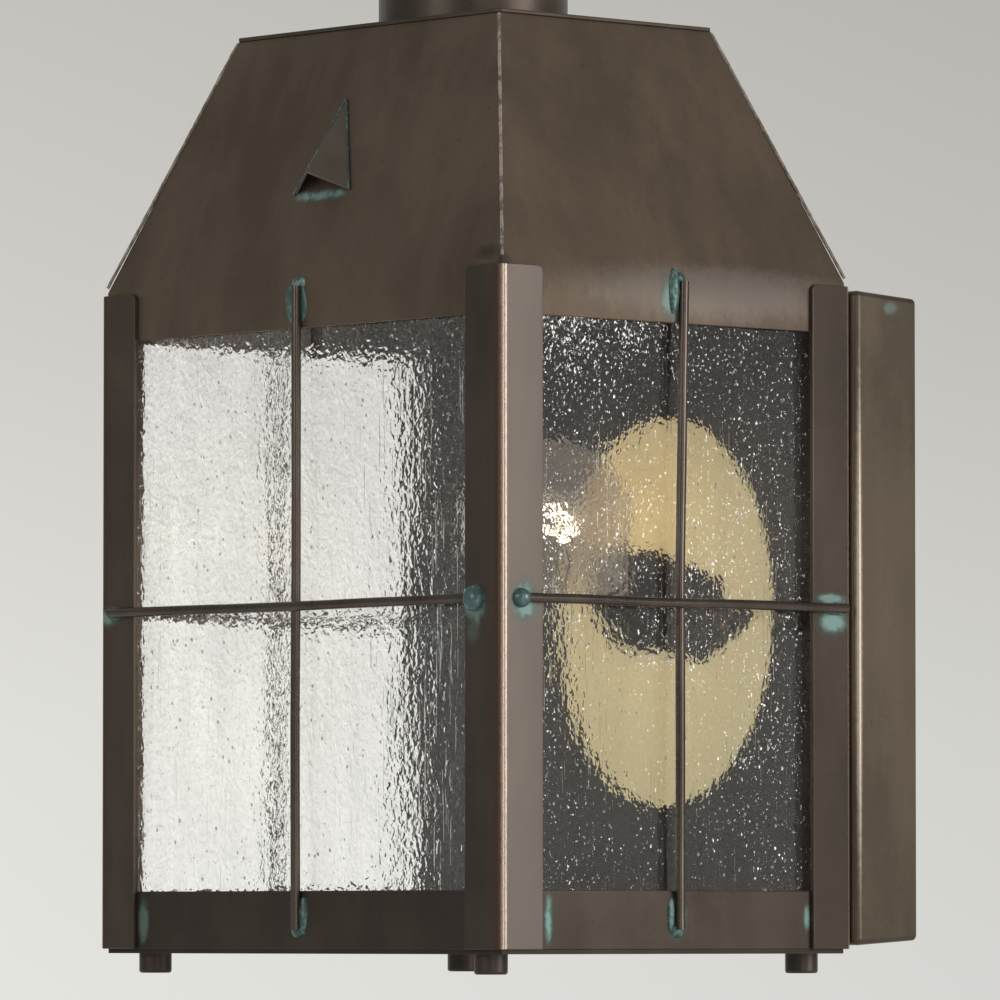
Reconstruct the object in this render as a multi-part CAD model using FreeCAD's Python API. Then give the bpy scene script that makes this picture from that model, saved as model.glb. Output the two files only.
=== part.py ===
import FreeCAD, Part
import math
import os

# Wall lantern: four corner posts, a roof with a chimney, guard rods over seedy glass, and a wall pan.
# Frame: +Z up, front towards -Y, +X to the right as seen from the front. The wall is the plane y = 0.
# Origin: middle of the cable hole in the wall strap, on the wall plane. All sizes are millimetres.
Vector = FreeCAD.Vector
os.makedirs("parts", exist_ok=True)

# Body and corner posts
body_width = 191.5
body_depth = 148.0
post_height = 208.0
post_flange = 17.0
post_sheet = 1.6
post_edge_round = 1.0
post_top_round = 2.2

# Wall pan, the shallow box between the body and the wall
pan_beyond_posts = 2.0
pan_below_post_ends = 1.2
pan_depth = 26.0
pan_sheet = 1.0
pan_edge_round = 2.0

# Bottom rails and the skirt band of the roof
rail_height = 18.1
rail_flange = 14.0
rail_sheet = 1.2
skirt_height = 15.9
fold_above_posts = 1.0

# Roof
roof_rise = 80.0
roof_top_width = 124.5
roof_top_depth = 90.0
roof_sheet = 1.2
hip_bead_radius = 1.3
top_plate_sheet = 1.2
top_plate_lip = 0.6
top_plate_clip = 1.6

# Chimney and its cap
chimney_radius = 30.0
chimney_height = 32.0
chimney_sheet = 1.2
flue_ledge = 3.0
cap_radius = 42.0
cap_flat_radius = 9.0
cap_rise = 13.0
cap_rim = 4.0
cap_sheet = 1.0
cap_gap = 8.0
cap_leg_count = 3
cap_leg_width = 6.0
cap_leg_sheet = 1.2
cap_leg_overlap = 12.0

# Vent hood on the front slope
hood_width = 27.0
hood_length = 31.5
hood_lift = 8.5
hood_mouth_setback = 3.5
hood_above_fold = 27.0
hood_sheet = 0.8
vent_hole_radius = 4.5
vent_hole_upslope = 9.0

# Glass and the tabs that hold it
glass_thickness = 2.5
glass_edge_gap = 0.5
glass_overlap = 9.0
tab_width = 9.0
tab_sheet = 0.8
tab_tongue = 6.0
tab_foot = 4.5
tab_end_distance = 34.0

# Guard rods and the solder that holds them
rod_radius = 1.5
rod_above_middle = 1.0
front_rod_left_end = 4.0
front_rod_right_end = 11.0
side_rod_front_end = 6.5
side_rod_rear_end = 4.0
rod_end_cover = 4.0
rod_top_cover = 13.0
rod_bottom_cover = 12.0
bead_radius = 3.9
bead_sink = 0.5

# Back panel, reflector and lamp holder. The reflector is an oval that lies aside from the lamp. The
# holder's arm and its screws are laid out as (x, z) from the point where the lamp's axis meets the arm.
panel_sheet = 1.2
reflector_width = 100.4
reflector_height = 124.4
reflector_sheet = 0.8
reflector_aside = 13.7
reflector_above_middle = 2.0
lamp_above_middle = 6.0
lamp_tilt = 35.0
socket_radius = 10.0
socket_front = 9.5
socket_back = 14.0
socket_bore = 7.6
socket_floor = 5.0
socket_fit = 0.15
shell_sheet = 1.0
shell_fit = 0.1
shell_recess = 2.5
contact_radius = 2.5
bulb_contact_gap = 0.4
arm_outline = ((-13.0, -7.0), (-6.0, -15.5), (18.0, -16.5), (32.0, -20.6), (57.0, -5.1), (42.0, -2.6),
               (39.0, 6.1), (10.0, 16.0), (-7.0, 16.0), (-13.0, 8.0))
plate_sheet = 1.5
plate_screw_places = ((24.0, -6.0), (44.0, -8.0))
plate_screw_radius = 1.5
collar_length = 6.5
collar_sheet = 1.2

# Bulb
bulb_radius = 26.0
bulb_length = 76.0
bulb_glass_sheet = 0.8
bulb_neck_radius = 6.4
bulb_neck_angle = 33.0
bulb_cap_radius = 5.8
bulb_cap_length = 15.0
bulb_thread_count = 5
bulb_thread_height = 0.3
bulb_tip_radius = 3.0
bulb_tip_height = 1.2
stem_radius = 3.2
stem_length = 24.0
filament_radius = 8.0
filament_wire = 0.35

# Wall strap and its fasteners
strap_beyond_studs = 9.0
strap_width = 32.0
strap_sheet = 2.0
cable_hole_radius = 8.0
box_screw_spacing = 88.9
box_slot_length = 14.0
box_slot_radius = 2.4
stud_from_post = 6.75
stud_radius = 2.0
stud_fit = 0.08
stud_hole_clearance = 0.4
stud_end_cover = 8.0
nut_across_flats = 7.0
nut_height = 3.0
acorn_height = 7.5
ground_screw_x = -22.0
ground_screw_z = 8.5
ground_screw_radius = 1.75
ground_head_radius = 3.5
ground_head_height = 2.0

# Base plate and its four round feet, which are nuts on studs
base_sheet = 1.4
base_edge_gap = 0.5
foot_radius = 5.15
foot_height = 6.2
foot_edge_round = 0.9
foot_floor = 1.0
foot_from_side = 16.0
foot_from_front = 10.0
foot_from_back = 7.0
foot_thread_room = 0.6
base_stud_radius = 2.0
base_stud_above_nut = 0.8
base_stud_tip_gap = 0.9

# Levels and planes that follow from the sizes above
post_bottom = -post_height / 2
post_top = post_bottom + post_height
back_y = -pan_depth
front_y = back_y - body_depth
mid_y = (front_y + back_y) / 2
pan_width = body_width + 2 * pan_beyond_posts
pan_height = post_height - 2 * pan_below_post_ends
stud_x = body_width / 2 - post_flange - stud_from_post
strap_length = 2 * (stud_x + strap_beyond_studs)
rail_top = post_bottom + rail_height
fold_z = post_top + fold_above_posts
skirt_bottom = fold_z - skirt_height
roof_top = fold_z + roof_rise
opening_middle = (rail_top + skirt_bottom) / 2
rod_z = opening_middle + rod_above_middle
glass_plane = post_sheet + rail_sheet
glass_bottom = rail_top - glass_overlap
glass_top = skirt_bottom + glass_overlap
skirt_width = body_width - 2 * post_sheet
skirt_depth = body_depth - 2 * post_sheet
chimney_bottom = roof_top + top_plate_sheet
chimney_top = chimney_bottom + chimney_height
cap_bottom = chimney_top + cap_gap
panel_front = back_y - glass_plane - panel_sheet
reflector_front = panel_front - reflector_sheet
plate_front = reflector_front - plate_sheet
lamp_z = opening_middle + lamp_above_middle
reflector_z = opening_middle + reflector_above_middle
tilt = math.radians(lamp_tilt)
lamp_axis = Vector(0, -math.cos(tilt), math.sin(tilt))
lamp_point = Vector(0, plate_front, lamp_z)
floor_at = -socket_back + socket_floor
bulb_end_at = floor_at + contact_radius + bulb_contact_gap
bulb_cap_top = bulb_end_at + bulb_tip_height + bulb_cap_length
globe_at = bulb_end_at + bulb_length - bulb_radius
foot_x = body_width / 2 - foot_from_side


def box(x0, x1, y0, y1, z0, z1):
    return Part.makeBox(x1 - x0, y1 - y0, z1 - z0, Vector(x0, y0, z0))


def rod(radius, start, end):
    along = end.sub(start)
    return Part.makeCylinder(radius, along.Length, start, along)


def mirrored(shape):
    return shape.mirror(Vector(0, 0, 0), Vector(1, 0, 0))


def prism(points, direction):
    return Part.Face(Part.makePolygon(points + points[:1])).extrude(direction)


def solid_of(corners, faces):
    sides = [Part.Face(Part.makePolygon([corners[i] for i in f] + [corners[f[0]]])) for f in faces]
    return Part.Solid(Part.makeShell(sides))


def along_lamp(distance):
    return lamp_point.add(Vector(lamp_axis).multiply(distance))


def lamp_rod(radius, start, end):
    return rod(radius, along_lamp(start), along_lamp(end))


def revolved(points):
    """Turns an outline of (radius, height) points about the Z axis."""
    outline = [Vector(r, 0, z) for r, z in points]
    face = Part.Face(Part.makePolygon(outline + outline[:1]))
    return face.revolve(Vector(0, 0, 0), Vector(0, 0, 1), 360)


def to_lamp_axis(shape, distance):
    """Puts a shape made upright at the origin onto the tilted lamp axis."""
    turned = shape.copy()
    turned.Placement = FreeCAD.Placement(along_lamp(distance), FreeCAD.Rotation(Vector(0, 0, 1), lamp_axis))
    return turned


def hex_prism(across_flats, start, direction):
    """A hexagonal nut blank that stands on start and runs along Y."""
    corner = across_flats / math.sqrt(3)
    angles = [math.radians(60 * i) for i in range(6)]
    ring = [start.add(Vector(corner * math.cos(a), 0, corner * math.sin(a))) for a in angles]
    return prism(ring, direction)


def on_right(shape):
    """Moves a piece made for the front face, with its outside at y = 0, to the +X side."""
    moved = shape.copy()
    moved.rotate(Vector(0, 0, 0), Vector(0, 0, 1), 90)
    moved.translate(Vector(body_width / 2, mid_y, 0))
    return moved


def on_front(shape):
    moved = shape.copy()
    moved.translate(Vector(0, front_y, 0))
    return moved


def on_back(shape):
    moved = shape.copy()
    moved.rotate(Vector(0, 0, 0), Vector(0, 0, 1), 180)
    moved.translate(Vector(0, back_y, 0))
    return moved


def save(name, shape):
    shape.exportStep("parts/" + name + ".step")


def post_flange_plate():
    """One leg of the angle, along +X, with the free top corner rounded."""
    r = post_top_round
    w, h = post_flange, post_height
    corner = Part.Arc(Vector(w, 0, h - r), Vector(w - r + r * math.sqrt(0.5), 0, h - r + r * math.sqrt(0.5)),
                      Vector(w - r, 0, h)).toShape()
    origin = Vector(0, 0, 0)
    edges = [Part.makeLine(origin, Vector(w, 0, 0)), Part.makeLine(Vector(w, 0, 0), Vector(w, 0, h - r)),
             corner, Part.makeLine(Vector(w - r, 0, h), Vector(0, 0, h)),
             Part.makeLine(Vector(0, 0, h), origin)]
    return Part.Face(Part.Wire(edges)).extrude(Vector(0, post_sheet, 0))


def corner_post():
    """A bent sheet angle with its outer corner on the Z axis, legs along +X and +Y."""
    leg = post_flange_plate()
    other = leg.mirror(Vector(0, 0, 0), Vector(1, -1, 0))
    angle = leg.fuse(other).removeSplitter()
    upright = [e for e in angle.Edges if all(math.hypot(v.X, v.Y) < 1e-6 for v in e.Vertexes)]
    return angle.makeFillet(post_edge_round, upright)


def posts():
    post = corner_post()
    for end, y in (("front", front_y), ("rear", back_y)):
        placed = post if end == "front" else post.mirror(Vector(0, 0, 0), Vector(0, 1, 0))
        placed = placed.copy()
        placed.translate(Vector(-body_width / 2, y, post_bottom))
        save("post_" + end + "_left", placed)
        save("post_" + end + "_right", mirrored(placed))


def rail(half_length, half_flange):
    """A bottom rail for the front face: an upright web and a flange that turns in at its foot."""
    web = box(-half_length, half_length, post_sheet, glass_plane, post_bottom, rail_top)
    flange = box(-half_flange, half_flange, glass_plane, post_sheet + rail_flange, post_bottom,
                 post_bottom + rail_sheet)
    return web.fuse(flange).removeSplitter()


def rails():
    long_rail = rail(body_width / 2 - post_sheet, body_width / 2 - glass_plane)
    save("rail_front", on_front(long_rail).cut(stud_holes()))
    save("rail_back", on_back(long_rail).cut(stud_holes()))
    side = on_right(rail(body_depth / 2 - glass_plane, body_depth / 2 - post_sheet - rail_flange))
    save("rail_right", side)
    save("rail_left", mirrored(side))


def frustum(width, depth, top_width, top_depth, z0, z1):
    wires = []
    for w, d, z in ((width, depth, z0), (top_width, top_depth, z1)):
        ring = [Vector(sx * w / 2, mid_y + sy * d / 2, z) for sx, sy in ((-1, -1), (1, -1), (1, 1), (-1, 1))]
        wires.append(Part.makePolygon(ring + ring[:1]))
    return Part.makeLoft(wires, True, True)


def roof_solid(inset):
    """The roof's outline filled, drawn in on all four sides by inset."""
    width, depth = skirt_width - 2 * inset, skirt_depth - 2 * inset
    skirt = box(-width / 2, width / 2, mid_y - depth / 2, mid_y + depth / 2, skirt_bottom, fold_z)
    slopes = frustum(width, depth, roof_top_width - 2 * inset, roof_top_depth - 2 * inset, fold_z, roof_top)
    return skirt.fuse(slopes)


def slope_frame():
    """Base point, up-slope direction and outward normal of the roof's front slope, at the hood's foot."""
    run = (skirt_depth - roof_top_depth) / 2
    upslope = Vector(0, run, roof_rise).normalize()
    outward = Vector(0, -upslope.z, upslope.y)
    foot = Vector(0, front_y + post_sheet + run * hood_above_fold / roof_rise, fold_z + hood_above_fold)
    return foot, upslope, outward


def roof():
    filled = roof_solid(0)
    foot, upslope, outward = slope_frame()
    centre = foot.add(Vector(upslope).multiply(vent_hole_upslope))
    inward = Vector(outward).multiply(-3 * roof_sheet)
    hole = rod(vent_hole_radius, centre.sub(inward), centre.add(inward))
    save("roof_shell", filled.cut(roof_solid(roof_sheet)).cut(hole).removeSplitter())
    save("hip_seams", hip_seams(filled))


def hip_seams(filled):
    """Solder drawn down the four hips, between the fold and the top plate."""
    below = box(-body_width, body_width, front_y * 2, 0, post_bottom, fold_z + post_sheet)
    above = box(-body_width, body_width, front_y * 2, 0, roof_top, roof_top + roof_rise)
    beads = []
    for sx in (-1, 1):
        for sy in (-1, 1):
            low = Vector(sx * skirt_width / 2, mid_y + sy * skirt_depth / 2, fold_z)
            high = Vector(sx * roof_top_width / 2, mid_y + sy * roof_top_depth / 2, roof_top)
            beads.append(rod(hip_bead_radius, low, high).cut(filled).cut(below).cut(above))
    return Part.makeCompound(beads)


def roof_top_plate():
    w, d, c = roof_top_width / 2 + top_plate_lip, roof_top_depth / 2 + top_plate_lip, top_plate_clip
    ring = []
    for sx, sy in ((-1, -1), (1, -1), (1, 1), (-1, 1)):
        pair = [Vector(sx * (w - c), mid_y + sy * d, roof_top), Vector(sx * w, mid_y + sy * (d - c), roof_top)]
        ring += pair if sx == -sy else pair[::-1]
    plate = prism(ring, Vector(0, 0, top_plate_sheet))
    flue = chimney_radius - chimney_sheet - flue_ledge
    return plate.cut(Part.makeCylinder(flue, top_plate_sheet, Vector(0, mid_y, roof_top)))


def chimney_tube():
    foot = Vector(0, mid_y, chimney_bottom)
    outer = Part.makeCylinder(chimney_radius, chimney_height, foot)
    return outer.cut(Part.makeCylinder(chimney_radius - chimney_sheet, chimney_height, foot))


def cap_under():
    """Outline under the cap, as (radius, height above the cap's rim) from the rim to the middle."""
    return [(cap_radius - cap_sheet, cap_rim - cap_sheet), (cap_flat_radius, cap_rim + cap_rise - cap_sheet),
            (0, cap_rim + cap_rise - cap_sheet)]


def chimney_cap():
    top = cap_rim + cap_rise
    over = [(0, top), (cap_flat_radius, top), (cap_radius, cap_rim), (cap_radius, 0)]
    shape = revolved(over + [(cap_radius - cap_sheet, 0)] + cap_under())
    shape.translate(Vector(0, mid_y, cap_bottom))
    return shape


def cap_legs():
    """Flat strips that stand inside the tube and carry the cap."""
    reach = cap_gap + cap_leg_overlap
    room = revolved([(0, -reach), (cap_radius - cap_sheet, -reach)] + cap_under())
    outer = chimney_radius - chimney_sheet
    legs = []
    for i in range(cap_leg_count):
        strip = box(outer - 2 * cap_leg_sheet, outer, -cap_leg_width / 2, cap_leg_width / 2, -reach, cap_radius)
        bore = Part.makeCylinder(outer, reach + cap_radius, Vector(0, 0, -reach))
        hollow = Part.makeCylinder(outer - cap_leg_sheet, reach + cap_radius, Vector(0, 0, -reach))
        leg = strip.common(bore).cut(hollow).common(room)
        leg.rotate(Vector(0, 0, 0), Vector(0, 0, 1), 90 + 360 * i / cap_leg_count)
        leg.translate(Vector(0, mid_y, cap_bottom))
        legs.append(leg)
    return Part.makeCompound(legs)


def vent_hood():
    """A gabled hood of folded sheet on the front slope, closed at the top and open at its foot."""
    foot, upslope, outward = slope_frame()
    left = foot.add(Vector(-hood_width / 2, 0, 0))
    right = foot.add(Vector(hood_width / 2, 0, 0))
    peak = foot.add(Vector(upslope).multiply(hood_length))
    ridge = foot.add(Vector(outward).multiply(hood_lift)).add(Vector(upslope).multiply(hood_mouth_setback))
    faces = ((0, 1, 2), (0, 3, 1), (1, 3, 2), (2, 3, 0))
    filled = solid_of((peak, left, right, ridge), faces)
    side_normal = right.sub(peak).cross(ridge.sub(peak)).normalize()
    shift = hood_sheet / abs(side_normal.dot(upslope))
    inner = filled.copy()
    inner.translate(Vector(upslope).multiply(-shift))
    return filled.cut(inner)


def glass_panes():
    half = body_width / 2 - glass_plane - glass_edge_gap
    outside = front_y + glass_plane
    save("glass_front", box(-half, half, outside, outside + glass_thickness, glass_bottom, glass_top))
    x = body_width / 2 - glass_plane
    side = box(x - glass_thickness, x, outside + glass_thickness + glass_edge_gap,
               panel_front - glass_edge_gap, glass_bottom, glass_top)
    save("glass_right", side)
    save("glass_left", mirrored(side))


def tab(x, edge, up):
    """A bent tab for the front face. It is soldered past the pane's edge, steps over the edge and
    lies behind the glass."""
    y0, y1 = glass_plane, glass_plane + glass_thickness
    x0, x1 = x - tab_width / 2, x + tab_width / 2
    foot_z = sorted((edge, edge - up * tab_foot))
    shelf_z = sorted((edge, edge - up * tab_sheet))
    tongue_z = sorted((edge - up * tab_sheet, edge + up * tab_tongue))
    foot = box(x0, x1, y0, y0 + tab_sheet, *foot_z)
    shelf = box(x0, x1, y0, y1 + tab_sheet, *shelf_z)
    tongue = box(x0, x1, y1, y1 + tab_sheet, *tongue_z)
    return foot.fuse(shelf).fuse(tongue).removeSplitter()


def face_tabs(half_length):
    xs = (tab_end_distance - half_length, half_length - tab_end_distance)
    return [tab(x, edge, up) for x in xs for edge, up in ((glass_bottom, 1), (glass_top, -1))]


def glass_tabs():
    front = [on_front(t) for t in face_tabs(body_width / 2)]
    right = [on_right(t) for t in face_tabs(body_depth / 2)]
    return Part.makeCompound(front + right + [mirrored(t) for t in right])


def level_rod(half_length, start_inset, end_inset):
    start = Vector(-half_length + start_inset, -rod_radius, rod_z)
    return rod(rod_radius, start, Vector(half_length - end_inset, -rod_radius, rod_z))


def upright_rod(crossing):
    """Lies on the skirt and the rail, and is coped where the level rod crosses it."""
    y = post_sheet - rod_radius
    start = Vector(0, y, rail_top - rod_bottom_cover)
    return rod(rod_radius, start, Vector(0, y, skirt_bottom + rod_top_cover)).cut(crossing)


def end_bead(turn, x, y, z):
    """A dome of solder over a rod's end, on a flat face that looks along -Y. The rod runs from it
    along +X before the bead is turned about Y. x, y and z are the middle of the rod's end, on the face."""
    ball = Part.makeSphere(bead_radius, Vector(0, bead_sink, 0))
    ball.rotate(Vector(0, bead_sink, 0), Vector(1, 1, 1), 50)
    start = Vector(-rod_end_cover / 2, -rod_radius, 0)
    bar = rod(rod_radius, start, start.add(Vector(3 * rod_end_cover, 0, 0)))
    r = 2 * bead_radius
    bead = ball.cut(box(-r, r, 0, r, -r, r)).cut(bar)
    bead.translate(Vector(rod_end_cover / 2, 0, 0))
    bead.rotate(Vector(0, 0, 0), Vector(0, 1, 0), turn)
    bead.translate(Vector(x, y, z))
    return bead


def face_rods(half_length, start_inset, end_inset):
    level = level_rod(half_length, start_inset, end_inset)
    upright = upright_rod(level)
    rod_foot = rail_top - rod_bottom_cover
    rod_head = skirt_bottom + rod_top_cover
    beads = [end_bead(0, start_inset - half_length, 0, rod_z), end_bead(180, half_length - end_inset, 0, rod_z),
             end_bead(-90, 0, post_sheet, rod_foot), end_bead(90, 0, post_sheet, rod_head)]
    return level, upright, beads


def guard_rods():
    """One level and one upright rod over each glass face. The front level rod stops short of the
    corner on the +X side, as the side rods do of the front corner."""
    level, upright, front_beads = face_rods(body_width / 2, front_rod_left_end, front_rod_right_end)
    save("rod_front_level", on_front(level))
    save("rod_front_upright", on_front(upright))
    level, upright, side_beads = face_rods(body_depth / 2, side_rod_front_end, side_rod_rear_end)
    save("rod_right_level", on_right(level))
    save("rod_right_upright", on_right(upright))
    save("rod_left_level", mirrored(on_right(level)))
    save("rod_left_upright", mirrored(on_right(upright)))
    right = [on_right(b) for b in side_beads]
    beads = [on_front(b) for b in front_beads] + right + [mirrored(b) for b in right]
    save("rod_solder_beads", Part.makeCompound(beads))


def wall_pan():
    half_w, half_h = pan_width / 2, pan_height / 2
    outer = box(-half_w, half_w, back_y, 0, -half_h, half_h)
    soft = [e for e in outer.Edges if any(v.Y < back_y + 1e-6 for v in e.Vertexes)]
    outer = outer.makeFillet(pan_edge_round, soft)
    t = pan_sheet
    inner = box(t - half_w, half_w - t, back_y + t, 0, t - half_h, half_h - t)
    soft = [e for e in inner.Edges if any(v.Y < back_y + t + 1e-6 for v in e.Vertexes)]
    inner = inner.makeFillet(pan_edge_round - pan_sheet / 2, soft)
    return outer.cut(inner).cut(lamp_passage()).cut(stud_passages())


def lamp_passage():
    return lamp_rod(socket_radius + socket_fit + stud_hole_clearance, -4 * socket_back, socket_front)


def stud_passages():
    holes = [rod(stud_radius + stud_hole_clearance, Vector(x, front_y, 0), Vector(x, 0, 0))
             for x in (-stud_x, stud_x)]
    return Part.makeCompound(holes)


def plate_screw_holes():
    return Part.makeCompound([rod(plate_screw_radius + stud_fit, Vector(x, plate_front, lamp_z + z),
                                  Vector(x, panel_front + panel_sheet, lamp_z + z))
                              for x, z in plate_screw_places])


def back_panel():
    half = body_width / 2 - glass_plane - glass_edge_gap
    panel = box(-half, half, panel_front, panel_front + panel_sheet, glass_bottom, glass_top)
    return panel.cut(lamp_passage()).cut(stud_passages()).cut(plate_screw_holes())


def reflector():
    """An oval of thin sheet. The longer of its two half axes comes first."""
    middle = Vector(reflector_aside, reflector_front, reflector_z)
    axes = sorted((Vector(reflector_width / 2, 0, 0), Vector(0, 0, reflector_height / 2)), key=lambda v: -v.Length)
    rim = Part.Ellipse(middle.add(axes[0]), middle.add(axes[1]), middle).toShape()
    disc = Part.Face(Part.Wire([rim])).extrude(Vector(0, reflector_sheet, 0))
    return disc.cut(lamp_passage()).cut(plate_screw_holes())


def socket_plate():
    """A flat arm with a pointed end, screwed through the reflector, and at its other end a tilted
    collar that grips the lamp holder."""
    ring = [Vector(x, plate_front, lamp_z + z) for x, z in arm_outline]
    plate = prism(ring, Vector(0, plate_sheet, 0))
    r = socket_radius + socket_fit + collar_sheet
    collar = lamp_rod(r, -collar_length, collar_length)
    collar = collar.cut(box(-2 * r, 2 * r, plate_front, 0, lamp_z - 4 * r, lamp_z + 4 * r))
    bore = lamp_rod(socket_radius + socket_fit, -4 * socket_back, socket_front)
    return plate.fuse(collar).cut(bore).cut(plate_screw_holes()).removeSplitter()


def plate_screws():
    """Two pan-head screws through the arm, the reflector and the back panel."""
    screws = []
    for x, above_lamp in plate_screw_places:
        z = lamp_z + above_lamp
        shank = rod(plate_screw_radius, Vector(x, plate_front, z), Vector(x, back_y - post_sheet, z))
        face = Vector(x, plate_front - plate_screw_radius, z)
        head = rod(2 * plate_screw_radius, face, Vector(x, plate_front, z))
        reach, deep, narrow = 3 * plate_screw_radius, plate_screw_radius / 2, plate_screw_radius / 5
        groove = box(x - reach, x + reach, face.y, face.y + deep, z - narrow, z + narrow)
        screws.append(head.fuse(shank).cut(groove).removeSplitter())
    return Part.makeCompound(screws)


def socket_parts():
    body = lamp_rod(socket_radius, -socket_back, socket_front)
    save("socket_body", body.cut(lamp_rod(socket_bore, floor_at, socket_front)))
    shell_outer = socket_bore - shell_fit
    shell = lamp_rod(shell_outer, floor_at, socket_front - shell_recess)
    save("socket_shell", shell.cut(lamp_rod(shell_outer - shell_sheet, floor_at, socket_front)))
    save("socket_contact", lamp_rod(contact_radius, floor_at, floor_at + contact_radius))


def bulb_outline(radius, neck, foot):
    """Half outline of the bulb's glass: globe radius, neck radius and neck height below the centre."""
    a = math.radians(bulb_neck_angle)
    joint = Vector(radius * math.sin(a), 0, -radius * math.cos(a))
    top = Vector(0, 0, radius)
    side = Vector(radius, 0, 0)
    return top, side, joint, Vector(neck, 0, -foot)


def bulb_glass():
    foot = globe_at - bulb_cap_top
    top, side, joint, neck = bulb_outline(bulb_radius, bulb_neck_radius, foot)
    top_in, side_in, joint_in, neck_in = bulb_outline(bulb_radius - bulb_glass_sheet,
                                                     bulb_neck_radius - bulb_glass_sheet, foot)
    edges = [Part.Arc(top, side, joint).toShape(), Part.makeLine(joint, neck), Part.makeLine(neck, neck_in),
             Part.makeLine(neck_in, joint_in), Part.Arc(joint_in, side_in, top_in).toShape(),
             Part.makeLine(top_in, top)]
    shape = Part.Face(Part.Wire(edges)).revolve(Vector(0, 0, 0), Vector(0, 0, 1), 360)
    return to_lamp_axis(shape, globe_at)


def bulb_cap():
    """The bulb's metal cap, with the crests of its thread as rings."""
    pitch = bulb_cap_length / (bulb_thread_count + 2)
    points = [(0, 0), (bulb_cap_radius - bulb_thread_height, 0)]
    for i in range(bulb_thread_count):
        z = pitch * (i + 0.75)
        points += [(bulb_cap_radius - bulb_thread_height, z), (bulb_cap_radius, z + pitch / 2)]
    points += [(bulb_cap_radius - bulb_thread_height, pitch * (bulb_thread_count + 0.75)),
               (bulb_cap_radius - bulb_thread_height, bulb_cap_length), (0, bulb_cap_length)]
    return to_lamp_axis(revolved(points), bulb_end_at + bulb_tip_height)


def bulb_inside():
    stem = Part.makeCone(stem_radius, stem_radius / 2, stem_length)
    save("bulb_stem", to_lamp_axis(stem, bulb_cap_top))
    save("bulb_filament", to_lamp_axis(filament(), bulb_cap_top + stem_length))


def filament():
    """A thin wire that rises from the stem on both sides and arches across between its supports."""
    r = filament_radius
    arch = [Vector(r * math.cos(math.pi * i / 8), 0, r + r * math.sin(math.pi * i / 8)) for i in range(9)]
    points = [Vector(stem_radius / 4, 0, 0)] + arch + [Vector(-stem_radius / 4, 0, 0)]
    shape = Part.makeSphere(filament_wire, points[1])
    for start, end in zip(points, points[1:]):
        shape = shape.fuse(rod(filament_wire, start, end)).fuse(Part.makeSphere(filament_wire, end))
    return shape.cut(box(-r, r, -r, r, -r, 0))


def bulb():
    save("bulb_glass", bulb_glass())
    save("bulb_cap", bulb_cap())
    save("bulb_contact", lamp_rod(bulb_tip_radius, bulb_end_at, bulb_end_at + bulb_tip_height))
    bulb_inside()


def slot(x):
    """A slotted hole through the strap, long along X."""
    reach = box_slot_length / 2 - box_slot_radius
    r = box_slot_radius
    ends = [rod(r, Vector(x + s * reach, -strap_sheet, 0), Vector(x + s * reach, 0, 0)) for s in (-1, 1)]
    return box(x - reach, x + reach, -strap_sheet, 0, -r, r).fuse(ends[0]).fuse(ends[1])


def wall_strap():
    bar = box(-strap_length / 2, strap_length / 2, -strap_sheet, 0, -strap_width / 2, strap_width / 2)
    bar = bar.cut(rod(cable_hole_radius, Vector(0, -strap_sheet, 0), Vector(0, 0, 0)))
    for side in (-1, 1):
        bar = bar.cut(slot(side * box_screw_spacing / 2))
        x = side * stud_x
        bar = bar.cut(rod(stud_radius + stud_fit, Vector(x, -strap_sheet, 0), Vector(x, 0, 0)))
    at = Vector(ground_screw_x, 0, ground_screw_z)
    return bar.cut(rod(ground_screw_radius + stud_fit, Vector(at.x, -strap_sheet, at.z), at))


def strap_fasteners():
    studs, lock_nuts, acorns = [], [], []
    tip = panel_front - stud_end_cover + nut_height / 2
    for x in (-stud_x, stud_x):
        studs.append(rod(stud_radius, Vector(x, tip, 0), Vector(x, 0, 0)))
        bore = rod(stud_radius + stud_fit, Vector(x, tip - stud_fit, 0), Vector(x, 0, 0))
        nut = hex_prism(nut_across_flats, Vector(x, -strap_sheet, 0), Vector(0, -nut_height, 0))
        lock_nuts.append(nut.cut(bore))
        nut = hex_prism(nut_across_flats, Vector(x, panel_front, 0), Vector(0, nut_height - acorn_height, 0))
        dome = Part.makeSphere(nut_across_flats / 2, Vector(x, panel_front + nut_height - acorn_height, 0))
        r = nut_across_flats
        behind = box(x - r, x + r, panel_front, 0, -r, r)
        acorns.append(nut.fuse(dome).cut(behind).cut(bore).removeSplitter())
    save("strap_studs", Part.makeCompound(studs))
    save("stud_lock_nuts", Part.makeCompound(lock_nuts))
    save("mounting_nuts", Part.makeCompound(acorns))
    at = Vector(ground_screw_x, -strap_sheet, ground_screw_z)
    head = rod(ground_head_radius, at.sub(Vector(0, ground_head_height, 0)), at)
    shank = rod(ground_screw_radius, at, at.add(Vector(0, strap_sheet, 0)))
    save("ground_screw", head.fuse(shank).removeSplitter())


def base_plate():
    half_w = skirt_width / 2 - base_edge_gap
    half_d = skirt_depth / 2 - base_edge_gap
    plate = box(-half_w, half_w, mid_y - half_d, mid_y + half_d, post_bottom - base_sheet, post_bottom)
    for x, y in foot_places():
        foot = Vector(x, y, post_bottom - base_sheet)
        plate = plate.cut(Part.makeCylinder(base_stud_radius + stud_hole_clearance, base_sheet, foot))
    return plate


def foot_places():
    return [(x, y) for y in (front_y + foot_from_front, back_y - foot_from_back) for x in (-foot_x, foot_x)]


def stud_holes():
    """Where the feet's studs pass through the rails' flanges."""
    return Part.makeCompound([rod(base_stud_radius + stud_fit, Vector(x, y, post_bottom),
                                  Vector(x, y, post_bottom + rail_sheet)) for x, y in foot_places()])


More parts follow.
